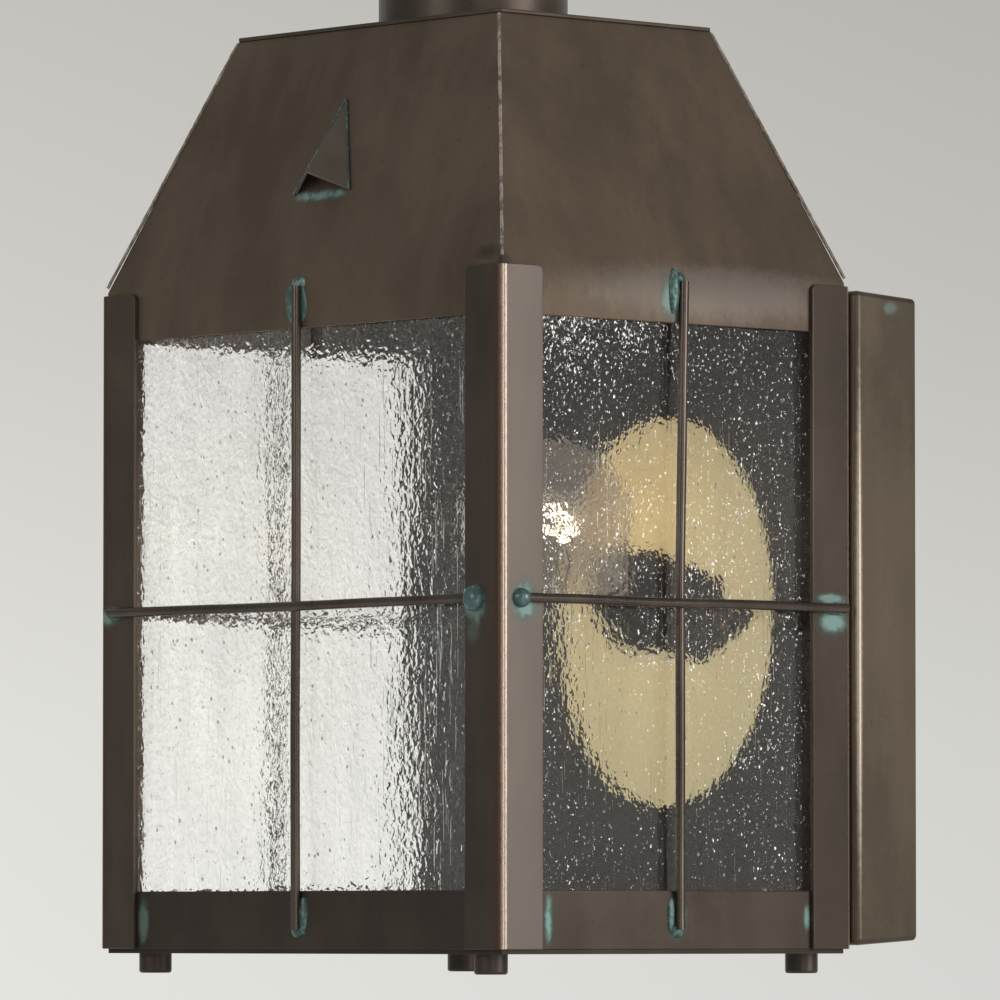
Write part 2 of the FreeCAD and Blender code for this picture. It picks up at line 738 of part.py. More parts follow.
def base_fasteners():
    """Threaded studs in the rails' flanges, each with a hex lock nut above, that carry the feet."""
    studs, nuts = [], []
    seat = post_bottom + rail_sheet
    top = seat + nut_height + base_stud_above_nut
    bottom = post_bottom - base_sheet - foot_height + foot_floor + base_stud_tip_gap
    for x, y in foot_places():
        studs.append(rod(base_stud_radius, Vector(x, y, bottom), Vector(x, y, top)))
        nut = hex_prism(nut_across_flats, Vector(0, 0, 0), Vector(0, nut_height, 0))
        nut.rotate(Vector(0, 0, 0), Vector(1, 0, 0), 90)
        nut.translate(Vector(x, y, seat))
        nuts.append(nut.cut(rod(base_stud_radius + stud_fit, Vector(x, y, seat), Vector(x, y, top))))
    save("base_studs", Part.makeCompound(studs))
    save("base_lock_nuts", Part.makeCompound(nuts))


def foot_nut(x, y):
    """A round brass foot, bored blind, with a soft lower edge."""
    top = post_bottom - base_sheet
    foot = Part.makeCylinder(foot_radius, foot_height, Vector(x, y, top - foot_height))
    lower = [e for e in foot.Edges if abs(e.BoundBox.ZMax - (top - foot_height)) < 1e-6]
    foot = foot.makeFillet(foot_edge_round, lower)
    depth = foot_height - foot_floor
    return foot.cut(Part.makeCylinder(base_stud_radius + foot_thread_room, depth, Vector(x, y, top - depth)))


def feet():
    names = ("foot_front_left", "foot_front_right", "foot_rear_left", "foot_rear_right")
    for name, (x, y) in zip(names, foot_places()):
        save(name, foot_nut(x, y))


posts()
rails()
roof()
save("roof_top_plate", roof_top_plate())
save("chimney_tube", chimney_tube())
save("chimney_cap", chimney_cap())
save("cap_legs", cap_legs())
save("vent_hood", vent_hood())
glass_panes()
save("glass_tabs", glass_tabs())
guard_rods()
save("wall_pan", wall_pan())
save("back_panel", back_panel())
save("reflector", reflector())
save("socket_plate", socket_plate())
save("plate_screws", plate_screws())
socket_parts()
bulb()
save("wall_strap", wall_strap())
strap_fasteners()
save("base_plate", base_plate())
base_fasteners()
feet()
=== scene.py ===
import bmesh
import bpy
import math
from mathutils import Matrix, Vector, noise


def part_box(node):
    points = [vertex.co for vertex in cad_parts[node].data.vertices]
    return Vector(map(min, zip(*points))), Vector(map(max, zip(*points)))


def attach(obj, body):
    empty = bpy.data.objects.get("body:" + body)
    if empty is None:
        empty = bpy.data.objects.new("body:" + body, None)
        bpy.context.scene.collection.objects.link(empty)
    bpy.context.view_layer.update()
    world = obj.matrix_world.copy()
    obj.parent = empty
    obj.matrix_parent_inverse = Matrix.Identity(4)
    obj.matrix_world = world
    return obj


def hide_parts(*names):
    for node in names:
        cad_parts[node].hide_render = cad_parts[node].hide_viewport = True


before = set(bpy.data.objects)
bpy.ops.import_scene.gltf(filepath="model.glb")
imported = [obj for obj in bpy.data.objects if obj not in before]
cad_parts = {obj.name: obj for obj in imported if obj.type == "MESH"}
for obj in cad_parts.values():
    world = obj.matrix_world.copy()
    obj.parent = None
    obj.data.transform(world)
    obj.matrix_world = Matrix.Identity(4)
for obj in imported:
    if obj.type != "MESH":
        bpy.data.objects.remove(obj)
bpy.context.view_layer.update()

# The corner posts are angles of bronze sheet, bent over a bar and darkened with a patina, with the
# outer corner rubbed bright by handling and painted lighter still as a highlight, and with painted shade
# and a painted sheen on their faces. They are soldered to the skirt above and the rails below.
MM = 0.001
front_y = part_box("post_front_right")[0].y
back_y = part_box("post_rear_right")[1].y
half_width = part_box("post_front_right")[1].x
mid_y = (front_y + back_y) / 2
sheet_edge = 0.35 * MM
worn_reach = 0.8 * MM
post_bend = 2.4 * MM
umber = (0.058, 0.043, 0.032)
olive_brown = (0.107, 0.081, 0.060)
worn_bronze = (0.24, 0.185, 0.14)
rubbed_highlight_bronze = (0.62, 0.48, 0.39)
heat_brown = (0.085, 0.043, 0.024)
painted_sheen_bronze = (0.285, 0.245, 0.215)
verdigris_deep = (0.040, 0.105, 0.092)
verdigris_pale = (0.215, 0.355, 0.315)


class Shade:
    """One output in a tree of nodes. Arithmetic on it adds Math nodes, and node() any other node."""

    def __init__(self, tree, socket=None):
        self.tree = tree
        self.socket = socket

    def put(self, socket, value):
        if isinstance(value, Shade):
            self.tree.links.new(value.socket, socket)
        elif hasattr(value, "__len__") and len(value) == 3 and len(socket.default_value) == 4:
            socket.default_value = (*value, 1.0)
        else:
            socket.default_value = value

    def node(self, kind, settings=None, values=None, out=0):
        """Adds a node: its settings first, then a value or a link for each named or numbered socket."""
        made = self.tree.nodes.new(kind)
        for name, setting in (settings or {}).items():
            if name == "stops":
                ramp = made.color_ramp.elements
                while len(ramp) < len(setting):
                    ramp.new(1.0)
                for stop, (position, colour) in zip(ramp, setting):
                    stop.position = position
                    stop.color = (*colour, 1.0) if len(colour) == 3 else colour
            else:
                setattr(made, name, setting)
        for name, value in (values or {}).items():
            self.put(made.inputs[name], value)
        return Shade(self.tree, made.outputs[out])

    def maths(self, operation, *values, clamp=False):
        numbered = dict(enumerate(values))
        return self.node("ShaderNodeMath", {"operation": operation, "use_clamp": clamp}, numbered)

    def __add__(self, other):
        return self.maths("ADD", self, other)

    def __sub__(self, other):
        return self.maths("SUBTRACT", self, other)

    def __rsub__(self, other):
        return self.maths("SUBTRACT", other, self)

    def __mul__(self, other):
        return self.maths("MULTIPLY", self, other)

    __radd__ = __add__
    __rmul__ = __mul__

    def clamped(self):
        return self.maths("ADD", self, 0.0, clamp=True)

    def stepped(self, low, high):
        """0 below low and 1 above high, with a soft step between."""
        return self.node("ShaderNodeMapRange", {"interpolation_type": "SMOOTHSTEP"},
                         {"Value": self, "From Min": low, "From Max": high})

    def mixed(self, first, second):
        """The first colour where self is 0 and the second where it is 1."""
        return self.node("ShaderNodeMix", {"data_type": "RGBA", "clamp_factor": True},
                         {0: self, 6: first, 7: second}, out=2)

    def grain(self, scale, detail=4.0, rough=0.55, distort=0.0):
        """Noise on self as a place."""
        return self.node("ShaderNodeTexNoise", None, {"Vector": self, "Scale": scale, "Detail": detail,
                                                      "Roughness": rough, "Distortion": distort})

    def stretched(self, factors):
        return self.node("ShaderNodeVectorMath", {"operation": "MULTIPLY"}, {0: self, 1: factors})

    def near(self, centre, reach):
        """1 at the centre and 0 at the reach along each axis."""
        offset = self.node("ShaderNodeVectorMath", {"operation": "SUBTRACT"}, {0: self, 1: centre})
        scaled = self.node("ShaderNodeVectorMath", {"operation": "DIVIDE"}, {0: offset, 1: reach})
        length = self.node("ShaderNodeVectorMath", {"operation": "LENGTH"}, {0: scaled}, out="Value")
        return 1.0 - length


def new_material(name):
    """A material with its Principled shader, and its object coordinates."""
    material = bpy.data.materials.new(name)
    material.use_nodes = True
    tree = material.node_tree
    shader = tree.nodes["Principled BSDF"]
    place = Shade(tree).node("ShaderNodeTexCoord", out="Object")
    return material, shader, place


def bronze(name, dark=umber, light=olive_brown, rough=0.42, stains=(), burns=(), wear=0.35, handled_and_lit=(),
           metallic=0.6):
    """Patinated bronze sheet: clouds of a darker and a lighter brown, soft streaks where it was wiped, and
    eased edges. Stains are verdigris round the soldered places, each a centre, a reach and a strength.
    Burns are dark places. Handled places, rubbed ones and ones of painted sheen and painted highlight,
    are a centre, a reach, a colour, a strength and a polish."""
    material, shader, place = new_material(name)
    clouds = place.grain(14.0, 5.0, 0.6, 0.5).stepped(0.34, 0.68)
    wiped = place.stretched((1.0, 1.0, 0.2)).grain(60.0, 4.0, 0.6).stepped(0.40, 0.66)
    fine = place.grain(420.0, 4.0, 0.65)
    specks = place.grain(620.0, 2.0, 0.5).stepped(0.68, 0.74)
    patina = (clouds * 0.55 + wiped * 0.30 + fine * 0.30 - 0.08).clamped()
    colour = patina.mixed(dark, light)
    colour = (specks * 0.35).mixed(colour, tuple(0.5 * c for c in dark))
    surface = place.node("ShaderNodeNewGeometry", out="Normal")
    rounded = place.node("ShaderNodeBevel", {"samples": 4}, {"Radius": worn_reach})
    along = place.node("ShaderNodeVectorMath", {"operation": "DOT_PRODUCT"}, {0: surface, 1: rounded}, "Value")
    edge = ((1.0 - along) * 5.0 + fine * 0.8 - 0.6).stepped(0.05, 0.9) * wear
    colour = edge.mixed(colour, worn_bronze)
    roughness = fine * 0.16 + (1.0 - patina) * 0.08 + (rough - 0.11) - edge * 0.06
    shine = edge * 0.3 + metallic
    # Rubbed places, and places painted paler or lighter as painted sheen and painted highlight.
    for centre, reach, tone, strength, polish in handled_and_lit:
        worn_and_lit = (place.near(centre, reach) + (fine - 0.5) * 0.4).stepped(0.05, 0.65) * strength
        colour = worn_and_lit.mixed(colour, tone)
        roughness = roughness - worn_and_lit * polish
        shine = shine + worn_and_lit * polish * 2.0
    for centre, reach in burns:
        scorch = (place.near(centre, reach) + (fine - 0.5) * 0.6).stepped(0.0, 0.8)
        colour = (scorch * 0.6).mixed(colour, tuple(0.35 * c for c in dark))
    ragged = place.grain(300.0, 3.0, 0.6, 0.5)
    for centre, reach, strength in stains:
        spot = place.near(centre, reach)
        film = (spot * 1.3 + (ragged - 0.5) * 0.6).stepped(0.0, 0.85) * strength
        core = (spot * 1.2 + (ragged - 0.5) * 1.2).stepped(0.20, 0.85)
        colour = film.mixed(colour, core.mixed(verdigris_deep, verdigris_pale))
        roughness = roughness + film * 0.10
        shine = shine - film * 0.35
    waves = place.grain(20.0, 2.0, 0.4)
    bumps = place.node("ShaderNodeBump", None, {"Strength": 0.5, "Distance": 0.6 * MM, "Height": waves})
    bumps = place.node("ShaderNodeBump", None, {"Strength": 0.2, "Distance": 0.10 * MM,
                                                "Height": fine - specks * 0.4, "Normal": bumps})
    place.put(shader.inputs["Base Color"], colour)
    place.put(shader.inputs["Roughness"], roughness)
    place.put(shader.inputs["Metallic"], shine.clamped())
    place.put(shader.inputs["Normal"], bumps)
    return material


def shown(name, form, material, body, replaced=(), turn=32.0):
    """Makes a finished piece of a bmesh: smooth up to an angle, in its material, riding on its body."""
    mesh = bpy.data.meshes.new(name)
    form.to_mesh(mesh)
    form.free()
    mesh.materials.append(material)
    for face in mesh.polygons:
        face.use_smooth = True
        face.material_index = 0
    mesh.set_sharp_from_angle(angle=math.radians(turn))
    piece = bpy.data.objects.new(name, mesh)
    bpy.context.collection.objects.link(piece)
    level = piece.modifiers.new("flat_faces_stay_flat", "WEIGHTED_NORMAL")
    level.keep_sharp = True
    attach(piece, body)
    if replaced:
        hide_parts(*replaced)


def merged(node):
    """A copy of a node's mesh as a bmesh, with its loose triangles joined to flat faces."""
    form = bmesh.new()
    form.from_mesh(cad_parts[node].data)
    bmesh.ops.remove_doubles(form, verts=form.verts, dist=0.002 * MM)
    bmesh.ops.dissolve_limit(form, angle_limit=math.radians(0.8), verts=form.verts, edges=form.edges)
    return form


def eased(node, width, reshape=None):
    """A copy of a node's sheet, with its sharp edges eased as a file and a cloth ease them."""
    form = merged(node)
    if reshape:
        reshape(form)
    sharp = [e for e in form.edges if e.is_manifold and e.calc_face_angle(0.0) > math.radians(38.0)]
    bmesh.ops.bevel(form, geom=sharp, offset=width, offset_type="OFFSET", segments=2,
                    profile=0.5, affect="EDGES", clamp_overlap=True)
    return form


level_z = (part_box("rod_front_level")[0].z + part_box("rod_front_level")[1].z) / 2
front_left_green = [((-half_width + 5 * MM, front_y, level_z - 1 * MM), (6.5 * MM, 8 * MM, 4.5 * MM), 0.75)]
front_right_green = [((half_width - 12.5 * MM, front_y, level_z - 2 * MM), (7.5 * MM, 6 * MM, 8.5 * MM), 0.6),
                     ((half_width - 13 * MM, front_y, level_z - 10 * MM), (5 * MM, 5 * MM, 6 * MM), 0.16),
                     ((half_width, front_y + 9.5 * MM, level_z - 1 * MM), (6 * MM, 7 * MM, 8.5 * MM), 0.8)]
rear_right_green = [((half_width, back_y - 9 * MM, level_z + 3 * MM), (6 * MM, 9 * MM, 2.6 * MM), 0.7),
                    ((half_width, back_y - 8 * MM, level_z - 4.5 * MM), (6 * MM, 9 * MM, 5 * MM), 0.85)]
rear_left_green = [((-half_width, back_y - 8 * MM, level_z - 3 * MM), (6 * MM, 9 * MM, 5 * MM), 0.8)]
# Each post's tone darkens it as painted shade: the front right a little, the two rear ones beside the wall pan
# most.
posts = (("post_front_left", 1.0, front_left_green), ("post_front_right", 0.86, front_right_green),
         ("post_rear_left", 0.74, rear_left_green), ("post_rear_right", 0.74, rear_right_green))
for node, tone, greens in posts:
    right, front = (1 if "right" in node else -1), (-1 if "front" in node else 1)
    corner = Vector((right * half_width, front_y if front < 0 else back_y, 0))

    def rounder(form):
        """Opens the bend from the CAD's tight one to the soft one of sheet bent over a bar."""
        bend_centre, tight = 1.0 * MM, 1.05 * MM
        for vert in form.verts:
            x = (corner.x - vert.co.x) * right
            y = (vert.co.y - corner.y) * -front
            if x < tight and y < tight:
                angle = math.atan2(max(bend_centre - y, 0.0), max(bend_centre - x, 0.0))
                x, y = post_bend * (1 - math.cos(angle)), post_bend * (1 - math.sin(angle))
                vert.co.x, vert.co.y = corner.x - x * right, corner.y - y * front

    # Beside the outer bend lies a red-brown fringe, and on the bend a rubbed bright line painted lighter still as a
    # highlight.
    singed = corner + Vector((-1.8 * right, -0.3 * front, 0)) * MM
    bright = corner + Vector((-0.35 * right, -1.15 * front, 0)) * MM
    handled_and_lit = [(tuple(singed), (2.6 * MM, 2.6 * MM, 10.0), heat_brown, 0.85, 0.0),
               (tuple(bright), (1.25 * MM, 1.25 * MM, 10.0), rubbed_highlight_bronze, 0.9, 0.12)]
    # The side flanges of the front posts are painted paler along their front part, a painted sheen.
    if front < 0:
        painted_sheen_centre = corner + Vector((0, 11 * MM, 0))
        handled_and_lit.insert(0, (tuple(painted_sheen_centre), (2.2 * MM, 22 * MM, 10.0), painted_sheen_bronze, 0.36, 0.05))
    dark, light = tuple(tone * c for c in umber), tuple(tone * c for c in olive_brown)
    patina = bronze(node + "_patina", dark, light, rough=0.38, stains=greens, handled_and_lit=handled_and_lit)
    shown(node + "_angle", eased(node, sheet_edge, rounder), patina, "lantern", [node])

# The bottom rails are folded bronze strip, soldered between the posts. The guard rods end on them, and
# the solder there has run down and turned green.
rail_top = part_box("rail_front")[1].z
rail_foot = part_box("rail_front")[0].z
rail_greens = {
    "rail_front": [((2 * MM, front_y + 1 * MM, rail_top - 8 * MM), (3.2 * MM, 6 * MM, 9 * MM), 0.5),
                   ((-half_width + 20 * MM, front_y + 1 * MM, rail_foot + 9 * MM), (4 * MM, 6 * MM, 11 * MM), 0.4)],
    "rail_right": [((half_width, mid_y, rail_top - 8 * MM), (6 * MM, 5.5 * MM, 10 * MM), 0.55),
                   ((half_width, front_y + 20.5 * MM, rail_foot + 9 * MM), (6 * MM, 2.6 * MM, 10.5 * MM), 1.0),
                   ((half_width, back_y - 18.5 * MM, rail_foot + 10 * MM), (6 * MM, 2.2 * MM, 6 * MM), 0.8)],
    "rail_left": [((-half_width, mid_y, rail_top - 8 * MM), (6 * MM, 5.5 * MM, 10 * MM), 0.55)],
    "rail_back": [],
}
# The side rails are painted in a lighter copy of the front and back rails' patina, as painted light.
rail_dark, rail_light = (0.037, 0.027, 0.021), (0.072, 0.054, 0.040)
lit_side_dark, lit_side_light = (0.046, 0.034, 0.026), (0.091, 0.069, 0.051)
for node, greens in rail_greens.items():
    dark, light = (rail_dark, rail_light) if node in ("rail_front", "rail_back") else (lit_side_dark, lit_side_light)
    patina = bronze(node + "_patina", dark, light, stains=greens)
    shown(node + "_strip", eased(node, sheet_edge), patina, "lantern", [node])

# The roof is one sheet folded into a steep pyramid with an upright skirt, closed by solder down its
# four hips. The guard rods are soldered to the skirt, and the hood to the front slope.
rod_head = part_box("rod_front_upright")[1].z
hood_low, hood_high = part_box("vent_hood")
hood_centre = (hood_low + hood_high) / 2
fold_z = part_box("hip_seams")[0].z
skirt_sheet = 1.6 * MM
slope = 0.62
roof_greens = [
    ((0, front_y + 1 * MM, rod_head - 5 * MM), (4.6 * MM, 6 * MM, 9 * MM), 0.6),
    ((half_width, mid_y - 2 * MM, rod_head - 5 * MM), (6 * MM, 6.5 * MM, 11 * MM), 0.75),
    ((-half_width, mid_y - 2 * MM, rod_head - 5 * MM), (6 * MM, 6.5 * MM, 11 * MM), 0.75),
    ((0, hood_low.y + 3 * MM, hood_low.z - 0.8 * MM), (14 * MM, 9 * MM, 3.0 * MM), 0.75),
    ((-8 * MM, hood_low.y + 3 * MM, hood_low.z - 0.8 * MM), (9 * MM, 9 * MM, 2.8 * MM), 0.6),
    ((7 * MM, hood_low.y + 3 * MM, hood_low.z - 0.8 * MM), (9 * MM, 9 * MM, 2.8 * MM), 0.6),
    ((0, hood_centre.y, hood_centre.z + 1 * MM), (10 * MM, 12 * MM, 19 * MM), 0.16),
]
roof_burns = [((half_width - 9 * MM, front_y + 2 * MM, hood_low.z - 24 * MM), (8 * MM, 12 * MM, 3.5 * MM)),
              ((half_width - 2 * MM, front_y + 2 * MM, hood_low.z - 27 * MM), (3 * MM, 5 * MM, 5 * MM))]
for step in range(5):
    # The green up the hood's two edges, from its foot to near its peak.
    share = 1 - step / 4.6
    edge_z = hood_low.z + (hood_high.z - hood_low.z) * (1 - share)
    edge_y = front_y + (edge_z - fold_z) * slope + skirt_sheet
    roof_greens.append(((14.6 * MM * share, edge_y, edge_z), (2.6 * MM, 6 * MM, 5.5 * MM), 0.55))
    roof_greens.append(((-14.4 * MM * share, edge_y, edge_z), (1.7 * MM, 6 * MM, 5.5 * MM), 0.22))
# Both sides of the skirt are painted paler along their length, a painted sheen.
roof_painted_sheen = [((side * half_width, mid_y + 18 * MM, fold_z - 7 * MM), (6 * MM, 84 * MM, 13 * MM),
              painted_sheen_bronze, 0.52, 0.04) for side in (-1, 1)]
roof_dark, roof_light = (0.092, 0.066, 0.046), (0.165, 0.120, 0.083)
roof_patina = bronze("roof_patina", roof_dark, roof_light, rough=0.44, stains=roof_greens, burns=roof_burns,
                     wear=0.2, handled_and_lit=roof_painted_sheen)
shown("roof_sheet", eased("roof_shell", sheet_edge), roof_patina, "lantern", ["roof_shell"])

# The hips are closed by solder run down the corners by hand. It stands up in lumps, is bright where it
# was scraped and brightest at the front right hip as a painted highlight, and lies a little off the corner.
roof_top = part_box("hip_seams")[1].z
top_low, top_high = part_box("roof_top_plate")
solder_grey = (0.66, 0.58, 0.49)
hip_bead, hip_end_drop = 0.52 * MM, 0.5 * MM
top_corner_inset = 0.6 * MM


def scraped_highlit_solder():
    """Solder that is bright where it was scraped and brown elsewhere, and brightest by the front right hip, a
    painted highlight.
    """
    material, shader, place = new_material("scraped_highlit_solder")
    lumps = place.grain(330.0, 4.0, 0.65)
    green = place.grain(60.0, 3.0, 0.6).stepped(0.60, 0.72)
    scraped_and_highlit = place.near((0.75 * half_width, front_y + 30 * MM, 0.0), (60 * MM, 60 * MM, 10.0)).stepped(0.0, 0.5)
    bright = place.stretched((1.0, 1.0, 0.5)).grain(480.0, 4.0, 0.6).stepped(0.40, 0.62) * (scraped_and_highlit * 0.7 + 0.3)
    colour = bright.mixed((0.130, 0.100, 0.076), solder_grey)
    colour = (green * 0.25).mixed(colour, verdigris_deep)
    bumps = place.node("ShaderNodeBump", None, {"Strength": 0.6, "Distance": 0.3 * MM, "Height": lumps})
    place.put(shader.inputs["Base Color"], colour)
    place.put(shader.inputs["Metallic"], bright * 0.7 + 0.2)
    place.put(shader.inputs["Roughness"], lumps * 0.3 + 0.25)
    place.put(shader.inputs["Normal"], bumps)
    return material


def new_tree(name, base, sizes):
    """A Geometry Nodes tree, with its inputs by name: a base mesh, sizes, a seed and a material."""
    tree = bpy.data.node_groups.new(name, "GeometryNodeTree")
    inputs = [(base, "Geometry"), *((size, "Float") for size in sizes), ("Seed", "Int"), ("Material", "Material")]
    for label, kind in inputs:
        tree.interface.new_socket(label, in_out="INPUT", socket_type="NodeSocket" + kind)
    tree.interface.new_socket("Shape", in_out="OUTPUT", socket_type="NodeSocketGeometry")
    start = tree.nodes.new("NodeGroupInput")
    return tree, {label: Shade(tree, start.outputs[label]) for label, kind in inputs}


def finished(tree, shape, material):
    """Ends a tree: copies become real meshes, and all of it gets the material."""
    whole = shape.node("GeometryNodeRealizeInstances", None, {0: shape})
    dressed = whole.node("GeometryNodeSetMaterial", None, {"Geometry": whole, "Material": material})
    tree.links.new(dressed.socket, tree.nodes.new("NodeGroupOutput").inputs["Shape"])
    return tree


def bead_tree():
    """Geometry Nodes that lay a lumpy round bead along a wire."""
    tree, given = new_tree("solder_bead", "Wire", ("Radius", "Lump Size", "Lump Height"))
    node = Shade(tree).node
    line = node("GeometryNodeMeshToCurve", None, {0: given["Wire"]})
    line = node("GeometryNodeResampleCurve", None, {"Curve": line, "Count": 150})
    circle = node("GeometryNodeCurvePrimitiveCircle", None, {"Radius": given["Radius"], "Resolution": 12})
    tube = node("GeometryNodeCurveToMesh", None, {"Curve": line, "Profile Curve": circle, "Fill Caps": True})
    spacing = line.maths("DIVIDE", 1.0, given["Lump Size"])
    lumps = node("ShaderNodeTexNoise", {"noise_dimensions": "4D"},
                 {"Vector": node("GeometryNodeInputPosition"), "W": given["Seed"], "Scale": spacing})
    offset = node("ShaderNodeVectorMath", {"operation": "SCALE"},
                  {0: node("GeometryNodeInputNormal"), "Scale": (lumps - 0.5) * given["Lump Height"]})
    moved = node("GeometryNodeSetPosition", None, {"Geometry": tube, "Offset": offset})
    return finished(tree, moved, given["Material"])


def grown(name, base, tree, inputs, body, replaced=()):
    """Runs a Geometry Nodes tree on a base mesh and keeps the result as a plain mesh."""
    source = bpy.data.objects.new(name + "_base", base)
    bpy.context.collection.objects.link(source)
    modifier = source.modifiers.new("grown", "NODES")
    modifier.node_group = tree
    for item in tree.interface.items_tree:
        if item.in_out == "INPUT" and item.name in inputs:
            modifier[item.identifier] = inputs[item.name]
    result = source.evaluated_get(bpy.context.evaluated_depsgraph_get())
    mesh = bpy.data.meshes.new_from_object(result)
    bpy.data.objects.remove(source)
    mesh.name = name
    for face in mesh.polygons:
        face.use_smooth = True
    piece = bpy.data.objects.new(name, mesh)
    bpy.context.collection.objects.link(piece)
    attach(piece, body)
    if replaced:
        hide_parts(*replaced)


solder_bead = bead_tree()


def bead(name, base, radius, lump_size, lump_height, seed, material, replaced=()):
    """A lumpy bead along a wire, on the lantern's body."""
    grown(name, base, solder_bead, {"Radius": radius, "Lump Size": lump_size, "Lump Height": lump_height,
                                    "Seed": seed, "Material": material}, "lantern", replaced)


hip_lines = bmesh.new()
for side in (-1, 1):
    for end, low_y, high_y in ((-1, front_y + skirt_sheet, top_low.y), (1, back_y - skirt_sheet, top_high.y)):
        low = hip_lines.verts.new((side * (half_width - skirt_sheet), low_y, fold_z))
        high = hip_lines.verts.new((side * (top_high.x - top_corner_inset), high_y - end * top_corner_inset,
                                    roof_top - hip_end_drop))
        hip_lines.edges.new((low, high))
hip_mesh = bpy.data.meshes.new("hip_lines")
hip_lines.to_mesh(hip_mesh)
hip_lines.free()
bead("hip_solder", hip_mesh, radius=hip_bead, lump_size=2.2 * MM, lump_height=0.4 * MM, seed=4,
     material=scraped_highlit_solder(), replaced=["hip_seams"])

# The roof's top plate is a flat sheet with clipped corners, laid on the pyramid. The chimney is a
# rolled tube with a lapped seam at the back, soldered to the plate all round its foot.
plate_edge = 0.3 * MM
plate_patina = bronze("roof_plate_patina", wear=0.1)
shown("roof_plate_sheet", eased("roof_top_plate", plate_edge), plate_patina, "lantern",
      ["roof_top_plate"])
chimney_low, chimney_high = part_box("chimney_tube")
chimney_radius = (chimney_high.x - chimney_low.x) / 2
lap_half_turn, lap_lift, lap_sunk, lap_end = 0.24, 0.8 * MM, 0.3 * MM, 0.4 * MM
foot_bead_radius, foot_bead_sunk, foot_bead_lift = 1.0 * MM, 0.1 * MM, 0.4 * MM


def ring(form, radius, z, thick, lumpy=0.0):
    """Adds a round bead about the chimney's axis to a bmesh."""
    around, sides = 96, 10
    loops = []
    for i in range(around):
        turn = 2 * math.pi * i / around
        out = Vector((math.cos(turn), math.sin(turn), 0))
        size = thick * (1 + lumpy * noise.noise(out * 4.0 + Vector((0, 0, z * 90))))
        loop = []
        for j in range(sides):
            lift = 2 * math.pi * j / sides
            spot = out * (radius + size * math.cos(lift)) + Vector((0, mid_y, z + size * math.sin(lift)))
            loop.append(form.verts.new(spot))
        loops.append(loop)
    for i in range(around):
        for j in range(sides):
            quad = (loops[i][j], loops[(i + 1) % around][j], loops[(i + 1) % around][(j + 1) % sides],
                    loops[i][(j + 1) % sides])
            form.faces.new(quad)


chimney = eased("chimney_tube", plate_edge)
lap = bmesh.ops.create_cube(chimney, size=1.0)["verts"]
for vert in lap:
    angle = math.pi / 2 + vert.co.x * lap_half_turn
    reach = chimney_radius + (lap_lift if vert.co.y > 0 else -lap_sunk)
    height = (vert.co.z + 0.5) * (chimney_high.z - chimney_low.z - 2 * lap_end) + chimney_low.z + lap_end
    vert.co = Vector((math.cos(angle) * reach, mid_y + math.sin(angle) * reach, height))
bmesh.ops.recalc_face_normals(chimney, faces=chimney.faces)
chimney_patina = bronze("chimney_patina", rough=0.36, wear=0.1)
shown("chimney_sheet", chimney, chimney_patina, "lantern", ["chimney_tube"])
foot_bead = bmesh.new()
ring(foot_bead, chimney_radius - foot_bead_sunk, chimney_low.z + foot_bead_lift, foot_bead_radius, lumpy=0.45)
bmesh.ops.recalc_face_normals(foot_bead, faces=foot_bead.faces)
foot_bead_patina = bronze("chimney_solder_patina", rough=0.36, wear=0.2)
shown("chimney_foot_solder", foot_bead, foot_bead_patina, "lantern")

# The cap is spun from one disc, with its rim rolled over a wire. Three bent strips carry it above the
# tube, so that warm air can leave all round.
cap_edge, leg_edge = 0.25 * MM, 0.2 * MM
cap = eased("chimney_cap", cap_edge)
cap_low, cap_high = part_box("chimney_cap")
rim_inset, rolled_rim = 0.9 * MM, 0.85 * MM
ring(cap, (cap_high.x - cap_low.x) / 2 - rim_inset, cap_low.z + rim_inset, rolled_rim)
bmesh.ops.recalc_face_normals(cap, faces=cap.faces)
shown("chimney_cap_spun", cap, bronze("cap_patina", rough=0.38), "lantern", ["chimney_cap"])
shown("cap_leg_strips", eased("cap_legs", leg_edge), bronze("cap_leg_patina"), "lantern",
      ["cap_legs"])

# The vent hood is a small folded gable, soldered to the front slope all round but at its open mouth.
# The solder has run green along its foot.
# The hood's patina is painted lighter than the roof's, as painted light on its face and its shaded mouth.
hood_lit_dark, hood_lit_light = (0.115, 0.092, 0.070), (0.185, 0.150, 0.118)
hood_patina = bronze("hood_patina", hood_lit_dark, hood_lit_light, rough=0.40, wear=0.3)
hood_edge, hood_foot_half, hood_bead, hood_bead_lift = 0.18 * MM, 13.2 * MM, 0.45 * MM, 0.2 * MM
shown("vent_hood_fold", eased("vent_hood", hood_edge), hood_patina, "lantern", ["vent_hood"])
slope_lean = (top_low.y + top_corner_inset - (front_y + skirt_sheet)) / (roof_top - fold_z)


def on_slope(x, z, lift):
    """A point on the roof's front slope, lifted off it."""
    return Vector((x, front_y + skirt_sheet + (z - fold_z) * slope_lean - lift, z + lift * slope_lean))


def wire(name, path):
    """An edge mesh along a path, for the bead's Geometry Nodes."""
    mesh = bpy.data.meshes.new(name)
    mesh.from_pydata([tuple(point) for point in path], [(i, i + 1) for i in range(len(path) - 1)], [])
    return mesh


